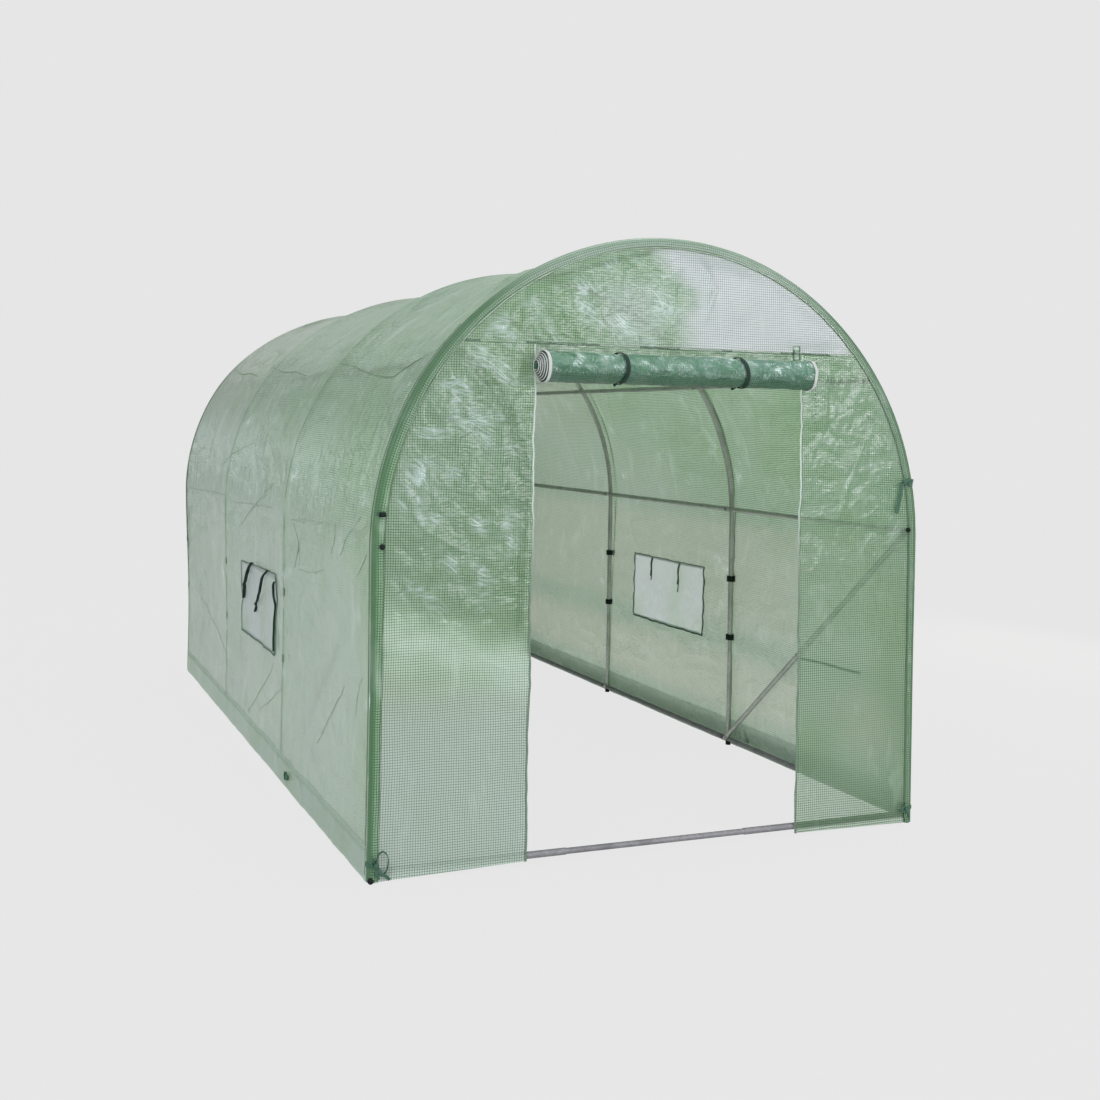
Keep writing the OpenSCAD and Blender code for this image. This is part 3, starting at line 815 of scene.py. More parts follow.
panel = {
    "step": 0.0056, "farStep": 0.0115, "crumple": 0.0026, "bulge": 0.0050, "edgeWave": 0.0050,
    "seed": {-1: 100, 1: 140}, "deepest": -0.012, "highest": 0.020, "seamWave": 0.0016,
}
upperFolds = {"count": 330, "u": (-1.0, 1.0), "v": (0.80, 2.0), "angle": (25, 155),
              "length": (0.05, 0.19), "width": (0.0035, 0.0085), "depth": (0.0012, 0.0042), "bend": 0.3}
lowerFolds = {"count": 60, "u": (-1.0, 1.0), "v": (0.05, 0.9), "angle": (10, 170),
              "length": (0.06, 0.24), "width": (0.005, 0.010), "depth": (0.0006, 0.0020)}
frontFolds = [       # points, depth and width
    ([(-0.742, 1.352), (-0.735, 1.30), (-0.719, 1.222)], 0.009, 0.010),
    ([(-0.55, 1.60), (-0.60, 1.42), (-0.58, 1.20), (-0.63, 1.02)], 0.006, 0.012),
    ([(0.622, 1.610), (0.612, 1.50), (0.605, 1.38)], 0.006, 0.008),
    ([(0.78, 1.36), (0.70, 1.18), (0.66, 1.02)], 0.005, 0.010),
    ([(-0.93, 1.22), (-0.85, 1.06), (-0.70, 0.98)], 0.006, 0.012),
    ([(-0.35, 1.93), (-0.28, 1.80), (-0.33, 1.70)], 0.006, 0.010),
    ([(0.10, 1.95), (0.16, 1.84), (0.12, 1.72)], 0.005, 0.010),
]


def hoopX(z):         # half the width inside the end hoop's middle line
    return np.sqrt(np.maximum(archR ** 2 - np.maximum(z - wallTop, 0) ** 2, 0))


def insetOf(x, z):    # how far inside the end hoop's middle line a point lies
    return archR - np.hypot(x, np.maximum(z - wallTop, 0))


def seamDepth(x, side):
    return 0.0012 + panel["seamWave"] * softNoise(x / 0.13, 0 * x + 3, panel["seed"][side] + 20)


def panelDepth(x, z, side):
    seed = panel["seed"][side]
    strength = 0.30 + 0.70 * smooth(0.62, 0.92, z)
    calm = 1.0
    if side < 0:      # the right half of the front gable is drawn flat
        calm = 1 - 0.9 * smooth(-0.02, 0.12, x + 0.03 * wobble(z / 0.1, 5)) * smooth(1.61, 1.66, z)
    out = panel["crumple"] * creased(x, z * 0.8, 0.10, seed) * strength * calm
    out += panel["bulge"] * (softNoise(x / 0.42, z / 0.5, seed + 7) * 0.7 + softNoise(x / 0.17, z / 0.23, seed + 8) * 0.35)
    out += calm * scatterFolds(x, z, upperFolds, seed + 11)
    out += scatterFolds(x, z, lowerFolds, seed + 12)
    if side < 0:
        for line, depth, width in frontFolds:
            out += fold(x, z, line, depth, width)
    seamOut = seamDepth(x, side)
    out = seamOut + (out - seamOut) * smooth(0.0, 0.045, np.abs(z - seamZ))
    out = out * (0.35 + 0.65 * smooth(0.03, 0.12, z))          # closer where it lies on the rail
    return np.clip(out * smooth(0.012, 0.075, insetOf(x, z)), panel["deepest"], panel["highest"])


def doorEdge(z, which):       # the free edge beside the doorway
    base = doorLeft if which < 0 else doorRight
    wave = panel["edgeWave"] * (wobble(z / 0.23, 31 + which) + 0.45 * wobble(z / 0.055, 35 + which))
    if which < 0:
        lean = 0.008 + 0.004 * smooth(0.4, 1.2, z) - 0.003 * smooth(1.2, 1.6, z)
        return base + lean + wave
    return base - 0.006 - 0.003 * smooth(0.3, 1.2, z) + wave


def freeRipple(x, z, which):
    away = np.abs(x - doorEdge(z, which))
    calm = smooth(0.02, 0.15, z) * smooth(0.0, 0.10, seamZ - z)
    ripple = 0.0050 * softNoise(z / 0.16, 0 * z + 2, 71 + which) + 0.0020 * wobble(z / 0.045, 73 + which)
    return ripple * np.exp(-away / 0.035) * calm


milkyPatches = [     # x, z, half length, half width, lean in degrees and strength of patches of stress white and painted highlight
    (-0.721, 1.418, 0.100, 0.038, -22, 0.95), (-0.63, 1.570, 0.085, 0.034, -30, 0.75),
    (-0.85, 1.194, 0.075, 0.050, 78, 0.85), (-0.652, 1.068, 0.036, 0.022, -32, 1.1),
    (-0.754, 0.955, 0.030, 0.020, -60, 0.9), (-0.844, 0.866, 0.040, 0.018, -35, 0.6),
    (-0.622, 0.813, 0.045, 0.018, -20, 0.6), (-0.56, 1.030, 0.040, 0.016, -50, 0.6),
    (-0.76, 1.500, 0.070, 0.030, -8, 0.5), (-0.60, 1.300, 0.060, 0.020, 10, 0.55),
    (-0.66, 0.930, 0.050, 0.018, -35, 0.6), (-0.84, 1.520, 0.045, 0.025, 60, 0.55),
    (-0.45, 1.690, 0.090, 0.035, -55, 0.7), (-0.30, 1.780, 0.080, 0.045, -65, 0.8),
    (-0.60, 1.700, 0.090, 0.030, -40, 0.8), (-0.17, 1.690, 0.060, 0.035, -60, 0.7),
    (-0.20, 1.880, 0.090, 0.040, -50, 0.6), (-0.05, 1.780, 0.070, 0.070, 80, 0.6),
    (0.57, 1.500, 0.050, 0.028, 30, 0.6), (0.66, 1.455, 0.090, 0.018, -22, 0.6),
    (0.60, 1.330, 0.070, 0.020, 28, 0.55), (0.62, 1.105, 0.080, 0.015, 18, 0.45),
    (0.66, 0.980, 0.060, 0.015, 10, 0.4), (0.80, 1.00, 0.050, 0.012, 12, 0.4),
]
milkyCurve = {"line": [(-0.940, 1.400), (-0.955, 1.27), (-0.935, 1.17), (-0.885, 1.105), (-0.800, 1.072)],
              "strength": 0.95, "width": 0.014}


def milkyOf(x, z, side):      # where an end panel is painted white, as stress whitening and painted highlight
    if side > 0:
        return 0.45 * smooth(0.1, 0.6, softNoise(x / 0.12, z / 0.10, 88)) * smooth(0.7, 1.0, z)
    total = 0.42 * smooth(0.0, 0.55, softNoise(x / 0.085, z / 0.060, 87)) * smooth(0.72, 0.95, z)
    for px, pz, long, wide, lean, strength in milkyPatches:
        a = math.radians(lean)
        p = (x - px) * math.cos(a) + (z - pz) * math.sin(a)
        q = -(x - px) * math.sin(a) + (z - pz) * math.cos(a)
        total = np.maximum(total, strength * np.exp(-(p / long) ** 4 - (q / wide) ** 2))
    curve = fold(x, z, milkyCurve["line"], milkyCurve["strength"], milkyCurve["width"])
    return np.maximum(total, curve) * np.where((x > 0.5) & (z < 1.64), 0.45, 1.0)


def spotOn(x, z, cx, cz, wide, high):      # a soft round spot, 1 at its middle
    return np.exp(-(((x - cx) / wide) ** 2 + ((z - cz) / high) ** 2))


def frontLook(piece, which):       # which is -1 or 1 beside the doorway and 0 for the gable
    x, y, z = spotsOf(piece)
    left, right, inset = x < 0, x > 0, insetOf(x, z)
    edge = smooth(0.02, 0.07, inset)
    wander = 0.05 * wobble(z / 0.11, 89) - 0.10 * smooth(1.78, 2.0, z)
    calm = 0 * x if which else smooth(-0.02, 0.12, x - wander)
    # a darker, less see-through band across the left panel: painted shade
    band = z - 0.67 + 0.30 * (x + 0.71) - 0.03 * softNoise(x / 0.12, z / 0.1, 90)
    shaded = left * np.exp(-(band / 0.085) ** 2)
    quiet = 1 - 0.55 * (x > 0.5) * (z < 1.64)
    # the gable's right half carries a broad painted reflection, its middle a pale painted sheen, the left panel's lower
    # part painted light, and the right panel a pale beige spot low down; the white crease lines are stress whitening
    # and painted highlight
    setLook(piece, lean=-1.13 if which == 1 else -0.30,
            crumple=(0.28 + 0.85 * smooth(0.65, 0.95, z)) * (1 - 0.92 * calm) * (0.25 + 0.75 * edge) * quiet,
            milky=1.75 * milkyOf(x, z, -1) * (1 - calm) * edge,
            veil=(0.22 * (1 - smooth(0.35, 0.85, z)) + 0.80 * shaded) * left,
            bloom=calm * smooth(0.0, 0.03, inset) * (1 - smooth(0.66, 0.76, x))
            + (1 - calm) * 0.60 * spotOn(x, z, -0.15, 1.76, 0.14, 0.11)
            + 0.46 * (1 - smooth(0.45, 0.62, z)) * left + 0.38 * spotOn(x, z, 0.80, 0.38, 0.13, 0.20) * right,
            bare=np.where(left, -0.8 * shaded - 0.5 * (1 - smooth(0.03, 0.06, z)), 0.30 * smooth(0.3, 0.7, z)) * bool(which))


def rearLook(piece):
    x, y, z = spotsOf(piece)
    setLook(piece, crumple=0.28 + 0.95 * smooth(0.65, 0.95, z), milky=1.25 * milkyOf(x, z, 1), veil=0.75)


def panelPiece(name, xGrid, zGrid, side, node, which=0):
    out = panelDepth(xGrid, zGrid, side)
    if which:
        out = out + freeRipple(xGrid, zGrid, which)
    place = np.stack([xGrid, endY[side] + side * out, zGrid], -1)
    material = greenFilm if side > 0 or which == 1 else frontFilm
    piece = buildPiece(name, *gridShape(place, np.stack([xGrid, zGrid], -1), flip=side > 0), materials=[material])
    if side > 0:
        rearLook(piece)
    else:
        frontLook(piece, which)
    finishPiece(piece, "green_film", node)


levels = stations([filmBottom, wallTop, seamZ], panel["step"])
parts = np.linspace(0, 1, 92)
for name, which, node, rise in (("frontLeftPanel", -1, "front_left_film", 0.013),
                                ("frontRightPanel", 1, "front_right_film", 0.006)):
    free, hoop = doorEdge(levels, which), which * hoopX(levels)
    first, last = (hoop, free) if which < 0 else (free, hoop)
    xGrid = first[:, None] + (last - first)[:, None] * parts[None, :]
    zGrid = np.repeat(levels[:, None], len(parts), 1)
    drawnUp = rise * (parts if which < 0 else 1 - parts)[None, :]      # the foot rises towards the doorway
    zGrid = zGrid + drawnUp * (1 - smooth(0.0, 0.12, zGrid))
    panelPiece(name, xGrid, zGrid, -1, node, which)

halfSeam = float(hoopX(np.array(seamZ)))
gableTurn = 0.985 * math.pi / 2        # the gable's columns stop just short of its corners
for name, side, node, step in (("frontGable", -1, "front_gable_film", panel["step"]),
                               ("rearGable", 1, "rear_gable_film", panel["farStep"])):
    turn = np.linspace(-1, 1, int(2 * halfSeam / step)) * 0.985 * math.pi / 2
    across = np.sin(turn) * halfSeam / math.sin(gableTurn) * 0.996
    top = wallTop + np.sqrt(archR ** 2 - across ** 2)
    parts = np.linspace(0, 1, int(0.36 / step))
    zGrid = seamZ + (top - seamZ)[None, :] * parts[:, None]
    xGrid = np.repeat(across[None, :], len(parts), 0)
    panelPiece(name, xGrid, zGrid, side, node)

farLevels = stations([filmBottom, wallTop, seamZ], panel["farStep"])
parts = np.linspace(-1, 1, 170)
xGrid = hoopX(farLevels)[:, None] * parts[None, :]
zGrid = np.repeat(farLevels[:, None], len(parts), 1)
panelPiece("rearWall", xGrid, zGrid, 1, "rear_wall_film")
print("end panels made")


# window flaps, left outside its wall and right inside it

window = {
    "wide": 0.67, "high": 0.31, "step": 0.0075, "over": 0.010, "crumple": 0.0022, "lift": 0.0018,
    "edgeWave": (0.0045, 0.0035), "sideWave": {-1: (0.0070, 0.0065), 1: (0.0070, 0.0200)}, "droop": 0.014,
    "bindingLift": 0.0034, "bindingThick": 0.0016,
}
flapFolds = {"count": 26, "u": (windowLow.y, windowHigh.y), "v": (windowLow.z, windowHigh.z), "angle": (60, 120),
             "length": (0.08, 0.22), "width": (0.005, 0.010), "depth": (0.002, 0.005)}
flapEdges = [        # from and to across and up the flap, and the binding's width
    ((0, 1), (1, 1), 0.0035), ((0, 0), (1, 0), 0.0065), ((0, 0), (0, 1), 0.0090), ((1, 0), (1, 1), 0.0045),
]


def wallPlace(y, z, side, more):      # a point on the long wall, more is out from the cover
    y, z = np.broadcast_arrays(np.asarray(y, float), np.asarray(z, float))
    return coverPoint(y, fromFoot(z, side > 0), more)


def flapShape(a, b, side):       # a and b run from 0 to 1 across and up
    yLow, yHigh = windowLow.y - window["over"], windowHigh.y + window["over"]
    zLow, zHigh = windowLow.z - window["over"], windowHigh.z + window["over"]
    broad, small = window["edgeWave"]
    wave = broad * softNoise(a * 3.1, b * 0.0, 81 + side) + small * softNoise(a * 11.0, b * 0.0 + 3, 83 + side)
    broad, small = window["sideWave"][side]
    waveSide = broad * softNoise(b * 2.6, a * 0.0, 85 + side) + small * softNoise(b * 6.0, a * 0.0, 87 + side)
    y = yLow + (yHigh - yLow) * a + waveSide * ((0.4 + a) if side < 0 else 0.7)
    z = zLow + (zHigh - zLow) * b + wave * (1.1 - 0.6 * b)
    if side < 0:
        z = z + window["droop"] * (1 - a) * b
    return y, z


def flapMore(y, z, side):        # how far the flap stands off the wall
    puff = creased(y, z, 0.13, 90 + side) * window["crumple"] + 0.003 * softNoise(y / 0.2, z / 0.16, 92 + side)
    puff += scatterFolds(y, z, flapFolds, 95 + side)
    fromEdge = np.minimum(np.minimum(y - windowLow.y, windowHigh.y - y), np.minimum(z - windowLow.z, windowHigh.z - z))
    lift = window["lift"] + np.maximum(puff, -0.003) * smooth(0.0, 0.03, fromEdge)
    return lift if side < 0 else -lift


for side, name, node in ((-1, "leftWindow", "left_window_flap"), (1, "rightWindow", "right_window_flap")):
    acrossGrid, upGrid = np.meshgrid(np.linspace(0, 1, int(window["wide"] / window["step"])),
                                     np.linspace(0, 1, int(window["high"] / window["step"])))
    yGrid, zGrid = flapShape(acrossGrid, upGrid, side)
    place = wallPlace(yGrid, zGrid, side, flapMore(yGrid, zGrid, side))
    flap = buildPiece(name, *gridShape(place, np.stack([yGrid, zGrid], -1), flip=side < 0), materials=[paleFilm])
    setLook(flap, crumple=0.9, veil=0.2)
    finishPiece(flap, "pale_film", node)
    strips = []
    t = np.linspace(0, 1, 70)
    for start, end, wide in flapEdges:
        y, z = flapShape(start[0] + (end[0] - start[0]) * t, start[1] + (end[1] - start[1]) * t, side)
        more = (window["bindingLift"] + 0.0012 * wobble(t * 9, 99)) * -side
        acrossWay = (0, 0, 1.0) if start[1] == end[1] else (0, 1.0, 0)
        wide = wide * (1 + 0.2 * softNoise(t * 11, 0 * t + 1, 98))
        strips.append(bandShape(wallPlace(y, z, side, more), acrossWay, wide, window["bindingThick"]))
    joinedPiece(name + "Binding", strips, bindingTape, "green_webbing")

leftTieLines = [      # y, z and distance out of each hanging tie, and its width
    ([(0.158, 0.764, 0.004), (0.185, 0.742, 0.012), (0.222, 0.714, 0.010), (0.205, 0.716, 0.015), (0.24, 0.68, 0.013),
      (0.292, 0.625, 0.010), (0.322, 0.590, 0.008)], 0.016),
    ([(-0.141, 0.764, 0.004), (-0.105, 0.740, 0.012), (-0.054, 0.704, 0.012), (-0.045, 0.672, 0.016), (-0.005, 0.640, 0.012),
      (0.045, 0.600, 0.010), (0.088, 0.561, 0.008)], 0.013),
    ([(-0.292, 0.735, 0.005), (-0.262, 0.70, 0.007), (-0.296, 0.64, 0.006), (-0.304, 0.584, 0.006), (-0.300, 0.52, 0.006),
      (-0.292, 0.456, 0.004)], 0.011),
]
strips = []
for points, wide in leftTieLines:
    p = through(points, 60)
    centre = wallPlace(p[:, 0], p[:, 1], -1, p[:, 2])
    strips.append(bandShape(centre, (1.0, 0.25, 0.1), wide, 0.0022))      # twisted to stand out from the wall
joinedPiece("leftWindowTies", strips, greenWebbing, "green_webbing")

rightTies = [(-0.10, 0.130), (-0.095, 0.095), (0.165, 0.105), (0.172, 0.085)]       # y and length
rightTieLine = [(0.0, 0.0, -0.006), (0.004, 0.3, -0.010), (-0.006, 0.65, -0.014), (0.006, 1.0, -0.011)]
strips = []
for y0, drop in rightTies:
    p = through([(y0 + dy, windowHigh.z + 0.004 * (share == 0) - share * drop, out) for dy, share, out in rightTieLine], 30)
    strips.append(bandShape(wallPlace(p[:, 0], p[:, 1], 1, p[:, 2]), (0, 1.0, 0.1), 0.009, 0.0014))
joinedPiece("rightWindowTies", strips, bindingTape, "green_webbing")
print("windows made")


# the rolled up door

roll = {
    "turns": 6.3, "hole": 0.0130, "outer": rollR + 0.0012, "perTurn": 40, "wide": 0.985, "step": 0.0105, "telescope": 0.030,
    "strapX": (-0.214, 0.228), "strapWide": 0.0130, "strapThick": 0.0020,
    "strapDrift": ((-0.008, 0.004, 0.005, -0.002, -0.005), (-0.012, -0.006, 0.003, 0.008, 0.010)),
}
rollPitch = (roll["outer"] - roll["hole"]) / roll["turns"]


def rollShape(x, angle, radius):     # squeezes, sags and crumples the same way on every turn
    pinch = sum(np.exp(-((x - s) / 0.022) ** 2) for s in roll["strapX"])
    lobes = 0.035 * softNoise(x / 0.16, np.cos(angle) * 0.9 + 5, 201)
    lobes = lobes + 0.03 * softNoise(x / 0.21, np.sin(angle) * 0.9 + 9, 202)
    crinkle = 0.030 * creased(x, angle * 0.045, 0.06, 203) * smooth(0.3, 1.0, radius / roll["outer"])
    size = radius * (1 - 0.075 * pinch + lobes * (1 - 0.6 * pinch) + crinkle * (1 - 0.7 * pinch))
    y = rollY + size * np.cos(angle)
    z = rollZ - 0.001 + size * np.sin(angle) * (1 - 0.03 * (np.sin(angle) > 0))
    return y, z


turns = np.linspace(0, roll["turns"] * 2 * math.pi, int(roll["turns"] * roll["perTurn"]))
hang = np.linspace(0, 1, 9)[:-1]
xs = np.linspace(0, 1, int(roll["wide"] / roll["step"]) + 1)


def rollEdges(t):                    # left and right end of the sheet at that much of a turn
    share = np.clip(t / turns[-1], 0, 1)
    left = rollLow.x + 0.003 - roll["telescope"] * share ** 0.8 + 0.0012 * wobble(t / 0.9, 205)
    right = rollHigh.x - 0.004 - 0.006 * share + 0.0015 * wobble(t / 0.8, 206)
    return left, right


def rollColumns(t):
    left, right = rollEdges(t)
    return left[:, None] + (right - left)[:, None] * xs[None, :]


xGrid = rollColumns(turns)
radius = (roll["outer"] - rollPitch * turns / (2 * math.pi))[:, None] + 0 * xGrid
yRolled, zRolled = rollShape(xGrid, -turns[:, None] + 0 * xGrid, radius)
xHung = rollColumns(0 * hang)
topY = endY[-1] - 0.0009 - seamDepth(xHung[:1], -1)
sag = -0.010 * (hang * (1 - hang))[:, None] * (1 + 0.9 * softNoise(xHung / 0.09, hang[:, None] * 0.5, 209))
yHung = topY + (yRolled[:1] - topY) * hang[:, None] ** 1.5 + sag
zHung = seamZ + (zRolled[:1] - seamZ) * hang[:, None]
place = np.stack([np.concatenate([xHung, xGrid]), np.concatenate([yHung, yRolled]), np.concatenate([zHung, zRolled])], -1)
down = np.concatenate([[0], np.cumsum(np.linalg.norm(np.diff(place[:, 40], axis=0), axis=1))])
sheetShape = gridShape(place, np.stack([place[..., 0], np.repeat(down[:, None], len(xs), 1)], -1), flip=True)
hanging = np.arange(len(sheetShape[1])) < (len(hang) - 1) * (len(xs) - 1)
doorRoll = buildPiece("doorRoll", *sheetShape, materials=[rolledFilm, greenFilm], faceMaterial=hanging)
x, y, z = spotsOf(doorRoll)
# the roll's top is painted with highlight and its lower side painted dark as shade
rollTopHighlight = smooth(rollZ - 0.030, rollZ + 0.010, z) * (z < rollZ + rollR)
setLook(doorRoll, crumple=1.0, milky=0.55 * rollTopHighlight * smooth(-0.25, 0.35, softNoise(x / 0.05, z / 0.03, 89)),
        bloom=1.0 - smooth(rollZ - 0.030, rollZ + 0.008, z + 0.010 * wobble(x / 0.06, 91)))
finishPiece(doorRoll, "hem_film", "door_roll")

strips = []
t = turns[4:]
radius = roll["outer"] - rollPitch * t / (2 * math.pi) + 0.0014
for end, inward, within in ((0, 1, 0.0036), (1, -1, 0.0050)):         # zip tape along both ends of the rolled sheet
    wide = np.where(t < 6.4, 0.0105, within)
    edge = rollEdges(t)[end] + (wide / 2 - 0.0012) * inward
    y, z = rollShape(edge, -t, radius)
    strips.append(bandShape(np.stack([edge, y, z], -1), (1.0, 0, 0), wide, 0.0024))
joinedPiece("rolledZipTape", strips, zipTape, "zip_tape")

strips = []
strapTail = np.array([[-0.004, 0.001, -0.012], [-0.010, -0.004, -0.024], [-0.020, -0.003, -0.034]])
for x0, drift, lean in zip(roll["strapX"], roll["strapDrift"], (-0.5, 1)):
    y, z = rollShape(np.full(64, x0), np.radians(np.linspace(64, 318, 64)), np.full(64, roll["outer"] + 0.0030))
    ring = np.stack([x0 + np.interp(np.linspace(0, 1, 64), np.linspace(0, 1, 5), drift), y, z], -1)
    tucked = ring[:1] + [[0, 0.009, 0.0015]]
    tail = ring[-1] + strapTail * [lean, 1, 0.55]
    line = through(np.concatenate([tucked, ring[::3], tail]), 96)
    strips.append(bandShape(line, (1.0, 0, 0), roll["strapWide"], roll["strapThick"]))
joinedPiece("rollStraps", strips, greenWebbing, "green_webbing", "door_straps")
print("door roll made")


# zips beside the doorway

zipper = {"tape": 0.0060, "thick": 0.0008, "above": {-1: 0.0125, 1: 0.0055}, "toothEvery": 0.0086, "toothR": 0.0019}
strips, toothRuns = [], []
for which in (-1, 1):
    zipLevels = np.linspace(filmBottom + zipper["above"][which], seamZ - 0.001, 300)
    x = doorEdge(zipLevels, which) + which * 0.0022
    out = panelDepth(x, zipLevels, -1) + freeRipple(x, zipLevels, which)
    centre = np.stack([x, endY[-1] - out - 0.0007, zipLevels], -1)
    strips.append(bandShape(centre, (1.0, 0, 0), zipper["tape"], zipper["thick"]))
    toothRuns.append(centre + [which * 0.0044, -0.0009, 0])
joinedPiece("doorZips", strips, edgeTape, "zip_tape", "door_zips")


# geometry nodes for what repeats

def newTree(name, inputs):
    tree = bpy.data.node_groups.new(name, "GeometryNodeTree")
    tree.interface.new_socket("Geometry", in_out="INPUT", socket_type="NodeSocketGeometry")
    tree.interface.new_socket("Geometry", in_out="OUTPUT", socket_type="NodeSocketGeometry")
    for label, kind, value in inputs:
        made = tree.interface.new_socket(label, in_out="INPUT", socket_type=kind)
        if value is not None:
            made.default_value = value
    return tree, add(tree, "NodeGroupInput"), add(tree, "NodeGroupOutput")


def closeTree(tree, instances, given, end):
    real = firstOut(tree, "GeometryNodeRealizeInstances", {}, {0: instances})
    finished = firstOut(tree, "GeometryNodeSetMaterial", {}, {"Geometry": real, "Material": given.outputs["Material"]})
    tree.links.new(finished, end.inputs[0])


def randomValue(tree, low, high, given):
    values = {2: low, 3: high, "Seed": given.outputs["Seed"]}
    return add(tree, "FunctionNodeRandomValue", {"data_type": "FLOAT"}, values).outputs[1]


def rowTree():        # one small shape again and again along lines
    tree, given, end = newTree("rowAlongLines", [
        ("Spacing", "NodeSocketFloat", 0.007), ("Size", "NodeSocketVector", (0.002, 0.0005, 0.0005)),
        ("Jitter", "NodeSocketFloat", 0.15), ("Seed", "NodeSocketInt", 4), ("Material", "NodeSocketMaterial", None)])
    curve = firstOut(tree, "GeometryNodeMeshToCurve", {}, {0: given.outputs["Geometry"]})
    points = firstOut(tree, "GeometryNodeResampleCurve", {"mode": "LENGTH"},
                 {"Curve": curve, "Length": given.outputs["Spacing"]})
    tangent = firstOut(tree, "GeometryNodeInputTangent")
    turned = firstOut(tree, "FunctionNodeAlignRotationToVector", {"axis": "X"}, {"Vector": tangent})
    low = calc(tree, "SUBTRACT", 1.0, given.outputs["Jitter"])
    high = calc(tree, "ADD", 1.0, given.outputs["Jitter"])
    vary = randomValue(tree, low, high, given)
    size = firstOut(tree, "ShaderNodeVectorMath", {"operation": "SCALE"}, {0: given.outputs["Size"], "Scale": vary})
    shape = firstOut(tree, "GeometryNodeMeshIcoSphere", {}, {"Radius": 1.0, "Subdivisions": 1})
    many = firstOut(tree, "GeometryNodeInstanceOnPoints", {},
               {"Points": points, "Instance": shape, "Rotation": turned, "Scale": size})
    closeTree(tree, many, given, end)
    return tree


def boltTree():       # hexagon nut, washer and the end of the bolt, facing the stored way
    tree, given, end = newTree("nutsAndBolts", [
        ("Across", "NodeSocketFloat", 0.0055), ("Height", "NodeSocketFloat", 0.0046), ("Shank", "NodeSocketFloat", 0.0028),
        ("Stick Out", "NodeSocketFloat", 0.005), ("Seed", "NodeSocketInt", 2), ("Material", "NodeSocketMaterial", None)])
    facing = firstOut(tree, "GeometryNodeInputNamedAttribute", {"data_type": "FLOAT_VECTOR"}, {"Name": "facing"})
    turned = firstOut(tree, "FunctionNodeAlignRotationToVector", {"axis": "Z"}, {"Vector": facing})
    local = firstOut(tree, "ShaderNodeCombineXYZ", {}, {2: randomValue(tree, 0.0, 1.04, given)})
    washer = 0.0012
    nut, disc, shank = given.outputs["Across"], calc(tree, "MULTIPLY", given.outputs["Across"], 1.35), given.outputs["Shank"]
    shapes = []
    for sides, wide, tall, more, low in ((6, nut, given.outputs["Height"], 0.0, washer), (12, disc, washer, 0.0, 0.0),
                                         (10, shank, given.outputs["Stick Out"], washer, 0.0)):
        depth = plus(tree, tall, more)
        tube = firstOut(tree, "GeometryNodeMeshCylinder", {}, {"Vertices": sides, "Radius": wide, "Depth": depth})
        raised = firstOut(tree, "ShaderNodeCombineXYZ", {}, {2: plus(tree, times(tree, depth, 0.5), low)})
        shapes.append(firstOut(tree, "GeometryNodeTransform", {}, {"Geometry": tube, "Translation": raised}))
    join = add(tree, "GeometryNodeJoinGeometry")
    for shape in shapes:
        tree.links.new(shape, join.inputs[0])
    spun = firstOut(tree, "FunctionNodeEulerToRotation", {}, {0: local})
    both = firstOut(tree, "FunctionNodeRotateRotation", {"rotation_space": "LOCAL"}, {0: turned, 1: spun})
    many = firstOut(tree, "GeometryNodeInstanceOnPoints", {},
               {"Points": given.outputs["Geometry"], "Instance": join.outputs[0], "Rotation": both})
    closeTree(tree, many, given, end)
    return tree


def grow(name, points, edges, tree, values, slot, facing=None):
    mesh = bpy.data.meshes.new(name + "Source")
    mesh.from_pydata(np.asarray(points, float).tolist(), [tuple(int(i) for i in e) for e in edges], [])
    if facing is not None:
        layer = mesh.attributes.new("facing", "FLOAT_VECTOR", "POINT")
        layer.data.foreach_set("vector", np.asarray(facing, np.float32).ravel())
    source = bpy.data.objects.new(name + "Source", mesh)
    bpy.context.scene.collection.objects.link(source)
    modifier = source.modifiers.new("grow", "NODES")
    modifier.node_group = tree
    for item in tree.interface.items_tree:
        if item.item_type == "SOCKET" and item.in_out == "INPUT" and item.name in values:
            modifier[item.identifier] = values[item.name]
    bpy.context.view_layer.update()
    grown = bpy.data.meshes.new_from_object(source.evaluated_get(bpy.context.evaluated_depsgraph_get()))
    source.modifiers.clear()
    bpy.data.objects.remove(source)
    grown.name = name
    piece = bpy.data.objects.new(name, grown)
    bpy.context.scene.collection.objects.link(piece)
    finishPiece(piece, slot)
    print(name, "grown,", len(grown.polygons), "faces")


def growRow(name, runs, values, slot):      # stitches or teeth along runs of points
    edges, start = [], 0
    for run in runs:
        edges += [(start + k, start + k + 1) for k in range(len(run) - 1)]
        start += len(run)
    grow(name, np.concatenate(runs), edges, rowsTree, values, slot)


rowsTree, boltsTree = rowTree(), boltTree()
growRow("zipTeeth", toothRuns, {
    "Spacing": zipper["toothEvery"], "Size": (zipper["toothR"], 0.0022, 0.0008), "Jitter": 0.10, "Seed": 3,
    "Material": darkThread}, "zip_tape")

coverThread = {"Spacing": 0.0075, "Size": (0.0024, 0.00055, 0.0005), "Jitter": 0.18, "Seed": 8, "Material": paleThread}
stitchRuns = []
s = np.linspace(0.03, pathLength - 0.03, 700)
line, out = onHoop(s)
for side in (-1, 1):
    for inward in (0.0045, 0.0095):
        run = line - out * (inward + 0.0008 * wobble(s / 0.09, 12))[:, None]
        run[:, 1] = endHoop[side] + side * (cover["endWrap"] + 0.0007)
        stitchRuns.append(run)
growRow("coverStitches", stitchRuns, coverThread, "zip_tape")

